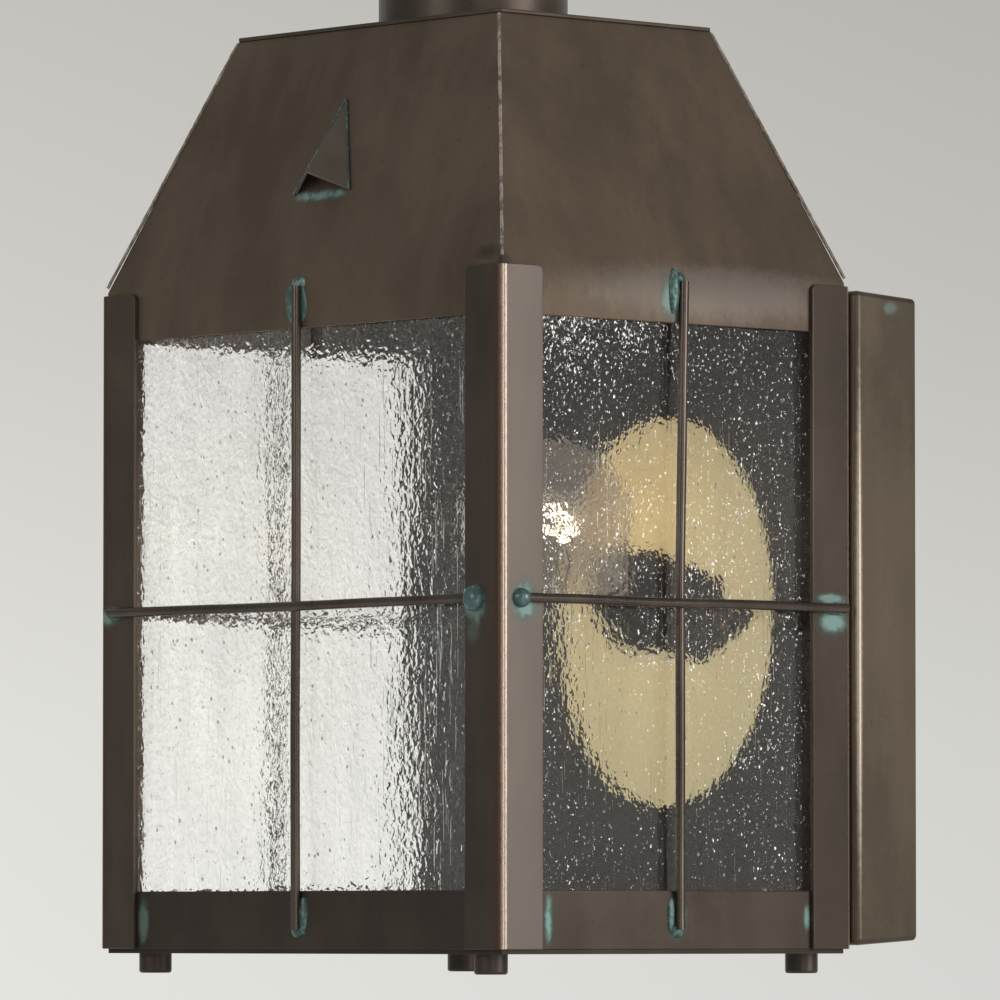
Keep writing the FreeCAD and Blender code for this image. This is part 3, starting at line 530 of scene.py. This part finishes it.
def solder(name, deep, pale, rough, bare_from, metallic=0.35, uneven=1.0):
    """Old solder gone green: dark teal with paler crusts, and grey metal where it was rubbed."""
    material, shader, place = new_material(name)
    crust = place.grain(380.0, 3.0, 0.6, 0.4).stepped(0.45, 0.75)
    bare = place.grain(210.0, 3.0, 0.6).stepped(bare_from, bare_from + 0.10)
    lumps = place.grain(600.0, 3.0, 0.6)
    colour = crust.mixed(deep, pale)
    colour = bare.mixed(colour, (0.50, 0.50, 0.46))
    place.put(shader.inputs["Base Color"], colour)
    place.put(shader.inputs["Metallic"], bare * 0.4 + metallic)
    place.put(shader.inputs["Roughness"], lumps * 0.1 - bare * 0.12 + (rough - 0.05))
    depth = 0.15 * MM * uneven
    bumps = place.node("ShaderNodeBump", None, {"Strength": 0.35, "Distance": depth, "Height": lumps})
    place.put(shader.inputs["Normal"], bumps)
    return material


hood_height = hood_high.z - hood_low.z
sides = [[on_slope(side * hood_foot_half * (1 - i / 10), hood_low.z + hood_height * i / 10, hood_bead_lift)
          for i in range(11)] for side in (-1, 1)]
hood_foot_solder = solder("hood_foot_solder", (0.055, 0.080, 0.068), (0.13, 0.20, 0.175), rough=0.5, bare_from=0.75)
bead("hood_solder", wire("hood_foot_line", sides[0] + sides[1][-2::-1]), radius=hood_bead, lump_size=2.4 * MM,
     lump_height=0.5 * MM, seed=9, material=hood_foot_solder)

# The wall pan is a shallow box of thin sheet behind the body, open to the wall, and the back panel
# closes the body in front of it. The steel strap and its studs hold both to the wall.
pan_low, pan_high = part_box("wall_pan")
pan_greens = [((pan_high.x, back_y + 15 * MM, pan_high.z - 5 * MM), (4 * MM, 5 * MM, 3 * MM), 0.3)]
pan_dark, pan_light = (0.072, 0.055, 0.037), (0.135, 0.104, 0.071)
pan_draw = 0.014
# Both front bends of the pan are painted lighter, a painted highlight.
pan_bend_highlights = [((side * (pan_high.x - 0.4 * MM), back_y + 1.4 * MM, -4 * MM), (1.7 * MM, 1.7 * MM, 104 * MM),
              (0.36, 0.30, 0.25), 1.0, 0.03) for side in (-1, 1)]


def drawn_in(form):
    """Draws the pan's sides in a little towards the wall, as pressing leaves them."""
    for vert in form.verts:
        share = (vert.co.y - pan_low.y) / (pan_high.y - pan_low.y)
        vert.co.z *= 1 - pan_draw * share ** 2


pan_patina = bronze("pan_patina", pan_dark, pan_light, rough=0.36, stains=pan_greens, wear=0.1, handled_and_lit=pan_bend_highlights)
shown("wall_pan_box", eased("wall_pan", plate_edge, drawn_in), pan_patina, "lantern", ["wall_pan"])


def dress(node, material):
    """Gives a CAD node as it stands its finish."""
    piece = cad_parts[node]
    for holder in piece.material_slots:
        holder.link = "OBJECT"
        holder.material = material


# The back panel and the socket plate inside the body are painted near black, as painted shade.
shaded_inside_dark, shaded_inside_light = (0.022, 0.018, 0.015), (0.045, 0.036, 0.030)
dress("back_panel", bronze("panel_patina", shaded_inside_dark, shaded_inside_light, rough=0.5, wear=0.2))


def plain_metal(name, colour, dark, rough, metallic=1.0):
    """A bare or plated metal with tool marks, dull clouds and darker grime."""
    material, shader, place = new_material(name)
    marks = place.stretched((1.0, 1.0, 0.15)).grain(1040.0, 4.0, 0.6)
    grime = place.grain(130.0, 5.0, 0.65).stepped(0.42, 0.72)
    place.put(shader.inputs["Base Color"], grime.mixed(colour, dark))
    place.put(shader.inputs["Metallic"], metallic - grime * 0.3)
    place.put(shader.inputs["Roughness"], marks * 0.15 + grime * 0.2 + (rough - 0.1))
    bumps = place.node("ShaderNodeBump", None, {"Strength": 0.25, "Distance": 0.06 * MM, "Height": marks})
    place.put(shader.inputs["Normal"], bumps)
    return material


zinc = plain_metal("zinc_plate", (0.46, 0.465, 0.47), (0.33, 0.325, 0.31), rough=0.40)
for node in ("wall_strap", "strap_studs", "stud_lock_nuts"):
    dress(node, zinc)
green_enamel = plain_metal("green_enamel_screw", (0.03, 0.20, 0.06), (0.02, 0.10, 0.04), rough=0.42, metallic=0.3)
dress("ground_screw", green_enamel)

# The guard rods are 3 mm brass rod, straightened by hand and gone dark. One lies level and one upright
# over each pane, and each end is held by a dome of solder.
rod_half, rod_sway, left_end_gap = 1.5 * MM, 0.8 * MM, 2.6 * MM
side_rod_lean, lean_from = 2.0 * MM, 0.55
rod_dark, rod_light = (0.060, 0.046, 0.037), (0.150, 0.120, 0.098)
rod_metal = bronze("rod_patina", rod_dark, rod_light, rough=0.24, wear=0.0, metallic=0.8)


# noise_vector takes its offsets from the clock unless this is set, and then the rods differ from run to run.
noise.seed_set(1795620459)


def hand_line(start, end, sway, seed):
    """Points along a rod that was straightened by hand: straight at its ends, and a little off between."""
    steps = 28
    line = []
    for i in range(steps + 1):
        share = i / steps
        spot = start.lerp(end, share)
        ease = math.sin(math.pi * share)
        drift = noise.noise_vector(Vector((share * 2.2, seed * 7.3, 0.4)))
        line.append(spot + drift * sway * ease)
    return line


rod_ends = {}
for number, (node, along) in enumerate((("rod_front_level", "x"), ("rod_front_upright", "z"),
                                        ("rod_left_level", "y"), ("rod_left_upright", "z"),
                                        ("rod_right_level", "y"), ("rod_right_upright", "z"))):
    low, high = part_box(node)
    middle = (low + high) / 2
    start, end = middle.copy(), middle.copy()
    setattr(start, along, getattr(low, along))
    setattr(end, along, getattr(high, along))
    if node == "rod_front_level":
        start.x += left_end_gap
    line = hand_line(start, end, rod_sway, number * 2)
    if "upright" in node and "front" not in node:
        line = [spot + Vector((0, side_rod_lean * max(0.0, i / (len(line) - 1) - lean_from) / 0.45, 0))
                for i, spot in enumerate(line)]
    bead(node + "_wire", wire(node + "_line", line), radius=rod_half, lump_size=14 * MM, lump_height=0.12 * MM,
         seed=2, material=rod_metal, replaced=[node])
    rod_ends[node] = (line[0], line[-1])


def solder_drop(form, centre, outward, spread, seed, uneven=0.14):
    """A drop of solder on a face, with spread as its half sizes across, up and out from the face."""
    across = Vector((0, 0, 1)).cross(outward)
    ball = bmesh.ops.create_icosphere(form, subdivisions=4, radius=1.0)["verts"]
    for vert in ball:
        spot = vert.co.copy()
        spot = spot * (1 + uneven * noise.noise(spot * 1.1 + Vector((seed, 0, 0))))
        vert.co = centre + across * (spot.x * spread[0]) + Vector((0, 0, 1)) * (spot.y * spread[1]) \
            + outward * (spot.z * spread[2])


# Each entry is a rod's end, 0 for its lower, left or front one, and drops of solder there: how far
# across and up from the end, and the half sizes.
top_lips = [(-1.5, -5.0, 5.0, 6.8, 0.8), (-0.5, 0.9, 3.2, 2.3, 1.0)]
side_top_lips = [(-3.1, -3.0, 1.9, 7.4, 1.7), (-0.6, 0.8, 2.3, 2.0, 1.3)]
foot_lips = [(2.1, 4.2, 1.7, 5.8, 1.2), (-0.6, -0.2, 3.0, 2.4, 1.5)]
side_foot_lips = [(-2.6, 4.4, 1.4, 5.6, 1.1), (2.2, 5.0, 1.5, 3.8, 1.0), (0.2, -0.2, 2.8, 2.4, 1.5)]
lips = [("rod_front_level", 0, [(1.2, -0.4, 3.4, 2.3, 1.4)]), ("rod_front_upright", 1, top_lips),
        ("rod_front_upright", 0, foot_lips), ("rod_right_level", 1, [(-2.6, -0.2, 4.6, 2.1, 1.0)]),
        ("rod_left_level", 1, [(2.6, -0.2, 4.6, 2.1, 1.0)]), ("rod_right_upright", 1, side_top_lips),
        ("rod_left_upright", 1, [(-a, *rest) for a, *rest in side_top_lips]),
        ("rod_right_upright", 0, side_foot_lips), ("rod_left_upright", 0, side_foot_lips)]
domes = [("rod_front_level", 1), ("rod_right_level", 0), ("rod_left_level", 0)]
front_dome, side_dome, dome_out, dome_inset = 4.1 * MM, 3.0 * MM, 3.4 * MM, 1.2 * MM


def facing(node):
    """The way out from the side of the lantern that a rod lies over."""
    return Vector((0, -1, 0)) if "front" in node else Vector((1 if "right" in node else -1, 0, 0))


lip_form, dome_form = bmesh.new(), bmesh.new()
for number, (node, end, drops) in enumerate(lips):
    outward = facing(node)
    across = Vector((0, 0, 1)).cross(outward)
    face = rod_ends[node][end] - outward * rod_half
    for step, (aside, up, *spread) in enumerate(drops):
        solder_drop(lip_form, face + (across * aside + Vector((0, 0, up))) * MM, outward,
                    [size * MM for size in spread], number * 3.1 + step)
for number, (node, end) in enumerate(domes):
    inward = (rod_ends[node][1 - end] - rod_ends[node][end]).normalized()
    face = rod_ends[node][end] - facing(node) * rod_half + inward * dome_inset
    size = front_dome if "front" in node else side_dome
    solder_drop(dome_form, face, facing(node), (size, size, dome_out), 40 + number * 2.7, uneven=0.05)
lip_solder = solder("green_solder", (0.050, 0.100, 0.088), (0.200, 0.310, 0.275), rough=0.36, bare_from=0.62)
dome_solder = solder("dome_solder", (0.070, 0.130, 0.128), (0.140, 0.215, 0.208), rough=0.28, bare_from=0.60,
                     metallic=0.45, uneven=0.25)
shown("rod_end_lips", lip_form, lip_solder, "lantern", ["rod_solder_beads"], turn=60.0)
shown("rod_end_domes", dome_form, dome_solder, "lantern", turn=60.0)

# The panes are old-looking seedy glass: hand-rolled, wavy, full of small bubbles and drawn streaks.
# Bent tabs of thin sheet hold them from inside.
def seedy_glass(name, tint, rough, seeds, wavy):
    """Clear glass with drawn waves, pebbled ripples and scratches, and with bright seeds near its surface,
    which crowd in places, towards the top and in a milky smear at the top front of the right pane."""
    material, shader, place = new_material(name)
    tree = material.node_tree
    drawn = place.stretched((1.0, 1.0, 0.16)).grain(110.0, 2.0, 0.4, 0.3)
    pebbles = place.stretched((1.0, 1.0, 0.8)).grain(300.0, 1.5, 0.4, 0.8)
    ripples = place.grain(640.0, 1.0, 0.35, 0.4)
    scratches = place.stretched((1.0, 1.0, 0.03)).grain(1200.0, 2.0, 0.6).stepped(0.66, 0.74)
    height = drawn * 1.1 + pebbles * 1.1 + ripples * 0.6 + scratches * 0.2
    bump = place.node("ShaderNodeBump", None, {"Strength": 0.6, "Distance": 0.36 * MM * wavy, "Height": height})
    roughness = scratches * 0.06 + rough
    shader.inputs["Base Color"].default_value = (*tint, 1.0)
    if seeds:
        crowd = place.grain(26.0, 3.0, 0.6)
        up = place.node("ShaderNodeSeparateXYZ", None, {0: place}, "Z")
        smear = place.near((half_width, front_y + 24 * MM, 84 * MM), (20 * MM, 50 * MM, 42 * MM)).stepped(0.0, 0.9)
        fine = place.stretched((1.0, 1.0, 0.85)).grain(980.0, 2.0, 0.55)
        seed = (fine + (crowd - 0.5) * 0.26 + up * 0.2 + smear * 0.06).stepped(0.65, 0.69)
        seed = seed * place.grain(330.0, 2.0, 0.5).stepped(0.30, 0.70) * seeds
        place.put(shader.inputs["Metallic"], seed)
        roughness = roughness + seed * 0.45
        streaks = place.stretched((1.0, 1.0, 0.10)).grain(120.0, 2.0, 0.5).stepped(0.38, 0.62)
        mottled = place.grain(820.0, 2.0, 0.5, 0.3).stepped(0.36, 0.60)
        flecks = place.stretched((1.0, 1.0, 0.6)).grain(700.0, 2.0, 0.6).stepped(0.67, 0.72)
        clarity = (streaks * 0.45 + mottled * 0.55).mixed((0.89, 0.89, 0.885), tint)
        place.put(shader.inputs["Base Color"], (flecks * 0.5).mixed(clarity, (0.45, 0.45, 0.45)))
    shader.inputs["Transmission Weight"].default_value = 1.0
    shader.inputs["IOR"].default_value = 1.45
    place.put(shader.inputs["Roughness"], roughness)
    place.put(shader.inputs["Normal"], bump)
    clear = place.node("ShaderNodeBsdfTransparent", None, {"Color": tint})
    shadow = place.node("ShaderNodeLightPath", out="Is Shadow Ray")
    mixed = place.node("ShaderNodeMixShader", None, {0: shadow, 1: Shade(tree, shader.outputs[0]), 2: clear})
    place.put(tree.nodes["Material Output"].inputs["Surface"], mixed)
    return material


wave_depth, pane_inset = 0.10 * MM, 0.12 * MM


def pane(name, node, across, seed, material):
    """A pane with drawn waves in both faces. across is the axis along the pane's width."""
    fine = 72
    low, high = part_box(node)
    depth = "y" if across == "x" else "x"
    form = bmesh.new()
    faces = []
    for side, level in enumerate((getattr(low, depth), getattr(high, depth))):
        rows = []
        for i in range(fine + 1):
            row = []
            for j in range(fine + 1):
                u = getattr(low, across) + (getattr(high, across) - getattr(low, across)) * i / fine
                z = low.z + (high.z - low.z) * j / fine
                wave = noise.noise(Vector((u * 55, z * 16, seed + side * 5))) * wave_depth
                spot = Vector((0, 0, z))
                setattr(spot, across, u)
                setattr(spot, depth, level + (wave - pane_inset if side else pane_inset - wave))
                row.append(form.verts.new(spot))
            rows.append(row)
        faces.append(rows)
        for i in range(fine):
            for j in range(fine):
                form.faces.new((rows[i][j], rows[i + 1][j], rows[i + 1][j + 1], rows[i][j + 1]))
    rims = [[rows[i][0] for i in range(fine + 1)] + [rows[fine][j] for j in range(1, fine + 1)]
            + [rows[i][fine] for i in range(fine - 1, -1, -1)] + [rows[0][j] for j in range(fine - 1, 0, -1)]
            for rows in faces]
    for i in range(len(rims[0])):
        k = (i + 1) % len(rims[0])
        form.faces.new((rims[0][i], rims[0][k], rims[1][k], rims[1][i]))
    bmesh.ops.recalc_face_normals(form, faces=form.faces)
    shown(name, form, material, "lantern", [node], turn=40.0)


def bubble_tree():
    """Geometry Nodes that scatter small drawn bubbles over a face."""
    tree, given = new_tree("bubbles", "Face", ("Per Square Metre", "Smallest", "Largest"))
    node = Shade(tree).node
    points = node("GeometryNodeDistributePointsOnFaces", None,
                  {"Mesh": given["Face"], "Density": given["Per Square Metre"], "Seed": given["Seed"]}, "Points")
    size = node("FunctionNodeRandomValue", None,
                {2: given["Smallest"], 3: given["Largest"], "Seed": given["Seed"]}, 1)
    drawn_out = node("ShaderNodeCombineXYZ", None, {"X": size, "Y": size, "Z": size * 1.7})
    ball = node("GeometryNodeMeshIcoSphere", None, {"Subdivisions": 1})
    placed = node("GeometryNodeInstanceOnPoints", None, {"Points": points, "Instance": ball, "Scale": drawn_out})
    return finished(tree, placed, given["Material"])


bubble_skin, bubble_shader, bubble_place = new_material("bubble_skin")
bubble_shader.inputs["Base Color"].default_value = (0.95, 0.95, 0.92, 1.0)
bubble_place.put(bubble_shader.inputs["Roughness"], bubble_place.grain(900.0) * 0.25 + 0.05)
bubble_shader.inputs["Transmission Weight"].default_value = 0.85
bubbles = bubble_tree()
glass_sides = (("front", "x", 0.45, 0.46), ("left", "y", 0.95, 0.38), ("right", "y", 0.95, 0.38))
for number, (side, across, seeds, wavy) in enumerate(glass_sides):
    glass = seedy_glass("seedy_glass_" + side, (0.995, 0.995, 0.99), rough=0.02, seeds=seeds, wavy=wavy)
    pane("pane_" + side, "glass_" + side, across, number * 11.0, glass)
    low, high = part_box("glass_" + side)
    left, right = (low.x, high.x) if side == "front" else (high.x, high.x) if side == "right" else (low.x, low.x)
    near, far = low.y, (low.y if side == "front" else high.y)
    skin = bpy.data.meshes.new("skin_" + side)
    skin.from_pydata([(left, near, low.z), (right, far, low.z), (right, far, high.z), (left, near, high.z)],
                     [], [(0, 1, 2, 3)])
    grown("bubbles_" + side, skin, bubbles, {"Per Square Metre": 14000.0, "Smallest": 0.12 * MM,
          "Largest": 0.40 * MM, "Seed": 31 + number, "Material": bubble_skin}, "lantern")
dress("glass_tabs", bronze("tab_patina", rail_dark, rail_light, rough=0.5))

# The reflector is an oval of brass sheet, painted a pale brass yellow, behind a pointed plate that
# carries the black lamp holder. The bulb leans out of it, so that it can be changed from below.
brass_paint, paint_shader, paint_place = new_material("reflector_brass")
buffed = paint_place.grain(60.0, 5.0, 0.6)
dull = paint_place.grain(24.0, 4.0, 0.6).stepped(0.45, 0.75)
paint_place.put(paint_shader.inputs["Base Color"], (dull * 0.4).mixed((0.97, 0.815, 0.45), (0.88, 0.715, 0.37)))
paint_place.put(paint_shader.inputs["Roughness"], buffed * 0.2 + 0.40)
dress("reflector", brass_paint)
# The socket plate takes the same painted shade.
dress("socket_plate", bronze("plate_patina", shaded_inside_dark, shaded_inside_light, rough=0.5, wear=0.4))
bright_brass = plain_metal("bright_brass", (0.72, 0.52, 0.24), (0.30, 0.20, 0.09), rough=0.28)
for node in ("socket_shell", "socket_contact", "base_studs", "base_lock_nuts"):
    dress(node, bright_brass)
aged_brass = plain_metal("aged_brass", (0.15, 0.105, 0.060), (0.060, 0.045, 0.030), rough=0.42)
for node in ("plate_screws", "mounting_nuts"):
    dress(node, aged_brass)
phenolic = plain_metal("black_phenolic", (0.012, 0.011, 0.010), (0.03, 0.028, 0.025), rough=0.45, metallic=0.1)
dress("socket_body", phenolic)

# The bulb is a clear, slightly smoked globe on a screw cap, with a looped carbon-style filament on a
# glass stem. It glows softly.
globe_glow, filament_glow = 0.042, 62.0
smoked = seedy_glass("bulb_glass", (0.67, 0.625, 0.57), rough=0.01, seeds=0.0, wavy=0.4)
smoked_shader = smoked.node_tree.nodes["Principled BSDF"]
smoked_shader.inputs["Emission Color"].default_value = (0.95, 0.86, 0.75, 1.0)
smoked_shader.inputs["Emission Strength"].default_value = globe_glow
dress("bulb_glass", smoked)
dress("bulb_stem", seedy_glass("stem_glass", (0.98, 0.98, 0.96), rough=0.02, seeds=0.0, wavy=0.3))
cap_metal = plain_metal("bulb_cap_nickel", (0.62, 0.60, 0.56), (0.30, 0.27, 0.22), rough=0.30)
for node in ("bulb_cap", "bulb_contact"):
    dress(node, cap_metal)
glowing, glow_shader, glow_place = new_material("glowing_filament")
carbon = glow_place.grain(900.0).mixed((0.20, 0.12, 0.06), (0.5, 0.3, 0.1))
glow_place.put(glow_shader.inputs["Base Color"], carbon)
glow_shader.inputs["Emission Color"].default_value = (1.0, 0.90, 0.72, 1.0)
glow_shader.inputs["Emission Strength"].default_value = filament_glow
dress("bulb_filament", glowing)

# The base plate is flat bronze sheet that closes the bottom. It hangs on four round brass feet, gone as
# dark as the rest, which screw onto studs.
base_dark, base_light = (0.030, 0.023, 0.018), (0.058, 0.044, 0.034)
base_patina = bronze("base_patina", base_dark, base_light, rough=0.45, wear=0.1)
shown("base_plate_sheet", eased("base_plate", plate_edge), base_patina, "base_plate", ["base_plate"])
foot_metal = bronze("foot_patina", (0.040, 0.030, 0.025), (0.075, 0.058, 0.047), rough=0.40, wear=0.1)
for node in ("foot_front_left", "foot_front_right", "foot_rear_left", "foot_rear_right"):
    dress(node, foot_metal)

# The studio is a pale floor below the lantern and a pale room behind it, with grey flags at its
# sides that only polished things show. A softbox stands at the right, a strip beside the camera and a
# weak light in front.
floor_z, floor_radius = -230 * MM, 1.5
floor_form = bmesh.new()
bmesh.ops.create_circle(floor_form, cap_ends=True, segments=96, radius=floor_radius,
                        matrix=Matrix.Translation((0, 0, floor_z)))
floor_mesh = bpy.data.meshes.new("floor")
floor_form.to_mesh(floor_mesh)
floor_form.free()
floor = bpy.data.objects.new("floor", floor_mesh)
bpy.context.collection.objects.link(floor)
floor_paint, floor_shader, floor_place = new_material("pale_floor")
floor_shader.inputs["Base Color"].default_value = (0.74, 0.735, 0.715, 1.0)
floor_shader.inputs["Roughness"].default_value = 0.9
floor_shader.inputs["Specular IOR Level"].default_value = 0.1
floor_fade = floor_place.near((0.0, 0.0, floor_z), (floor_radius,) * 3).stepped(0.0, 0.6)
underside = floor_place.node("ShaderNodeNewGeometry", out="Backfacing")
floor_place.put(floor_shader.inputs["Alpha"], floor_fade * (1.0 - underside))
floor_mesh.materials.append(floor_paint)

camera_side = math.radians(48.2)
to_camera = Vector((math.sin(camera_side), -math.cos(camera_side), 0))
across_view = Vector((math.cos(camera_side), math.sin(camera_side), 0))
world = bpy.data.worlds.new("pale_room")
bpy.context.scene.world = world
world.use_nodes = True
room = Shade(world.node_tree)
direction = room.node("ShaderNodeTexCoord", out="Generated")


def towards(way):
    """How far the direction points a way: 1 straight that way, and -1 straight back."""
    return room.node("ShaderNodeVectorMath", {"operation": "DOT_PRODUCT"}, {0: direction, 1: way}, "Value")


def multiplied(colour, tint, share=1.0):
    """A colour times a tint, by a share."""
    return room.node("ShaderNodeMix", {"data_type": "RGBA", "blend_type": "MULTIPLY"},
                     {0: share, 6: colour, 7: tint}, 2)


height = room.node("ShaderNodeSeparateXYZ", None, {0: direction}, "Z")
backdrop_stops = [(0.0, (0.755, 0.75, 0.72)), (0.25, (0.72, 0.715, 0.68)), (0.62, (0.60, 0.59, 0.56)),
                  (1.0, (0.51, 0.50, 0.47))]
pale = room.node("ShaderNodeValToRGB", {"stops": backdrop_stops}, {0: height * 7.7 + 0.08})
sideways = (towards(across_view) * 8.7 + 0.5).clamped()
pale = multiplied(pale, sideways.mixed((1.04, 1.04, 1.04), (0.90, 0.90, 0.90)))
flags = towards(-to_camera).stepped(0.30, 0.92).mixed((0.42, 0.42, 0.42), (1.0, 1.0, 1.0))
camera_ray, glossy_ray, glass_ray = (room.node("ShaderNodeLightPath", out=ray)
                                     for ray in ("Is Camera Ray", "Is Glossy Ray", "Is Transmission Ray"))
seen = (camera_ray + glossy_ray + glass_ray).clamped()
through = multiplied(pale, (1.38, 1.38, 1.38), glass_ray)
polished = glossy_ray * (1.0 - glass_ray)
shown_room = polished.mixed(through, multiplied(pale, flags))
lighting = room.node("ShaderNodeBackground", None, {"Color": (0.98, 0.98, 1.0), "Strength": 0.6})
backdrop = room.node("ShaderNodeBackground", None, {"Color": shown_room, "Strength": 1.0})
both = room.node("ShaderNodeMixShader", None, {0: seen, 1: lighting, 2: backdrop})
room.put(world.node_tree.nodes["World Output"].inputs["Surface"], both)


def softbox(name, azimuth, away, height, width, tall, power, colour=(1.0, 0.985, 0.96)):
    """A soft light at an azimuth from the front, in degrees to the right, that points at the lantern."""
    turn = math.radians(azimuth)
    place = Vector((math.sin(turn) * away, mid_y - math.cos(turn) * away, height))
    light = bpy.data.lights.new(name, "AREA")
    light.shape = "RECTANGLE"
    light.size, light.size_y = width, tall
    light.energy = power
    light.color = colour
    lamp = bpy.data.objects.new(name, light)
    aim = Vector((0, mid_y, 40 * MM)) - place
    lamp.matrix_world = Matrix.Translation(place) @ aim.to_track_quat("-Z", "Y").to_matrix().to_4x4()
    lamp.visible_camera = lamp.visible_transmission = False
    bpy.context.collection.objects.link(lamp)


softbox("right_softbox", azimuth=110, away=1.7, height=0.24, width=0.9, tall=0.95, power=11.5)
softbox("camera_side_strip", azimuth=64, away=2.0, height=0.10, width=0.45, tall=1.8, power=4.5)
softbox("front_fill", azimuth=4, away=2.0, height=0.60, width=0.8, tall=0.8, power=6.0, colour=(0.98, 0.99, 1.0))

# The camera stands level with the lantern's bottom, to the right of its front, with a very long lens
# that crops the chimney.
bpy.context.scene.view_settings.view_transform = "Standard"
camera_data = bpy.data.cameras.new("camera")
camera_data.lens = 312.5
camera_data.sensor_width = 36.0
camera_data.clip_start = 0.05
camera_data.clip_end = 50.0
camera = bpy.data.objects.new("camera", camera_data)
camera_away, camera_height, aim_aside, aim_height = 2.7443, -97.9 * MM, 8.5 * MM, 37.9 * MM
stand = to_camera * camera_away + Vector((0, mid_y, camera_height))
aim = across_view * aim_aside + Vector((0, mid_y, aim_height))
camera.matrix_world = Matrix.Translation(stand) @ (aim - stand).to_track_quat("-Z", "Y").to_matrix().to_4x4()
bpy.context.collection.objects.link(camera)
bpy.context.scene.camera = camera
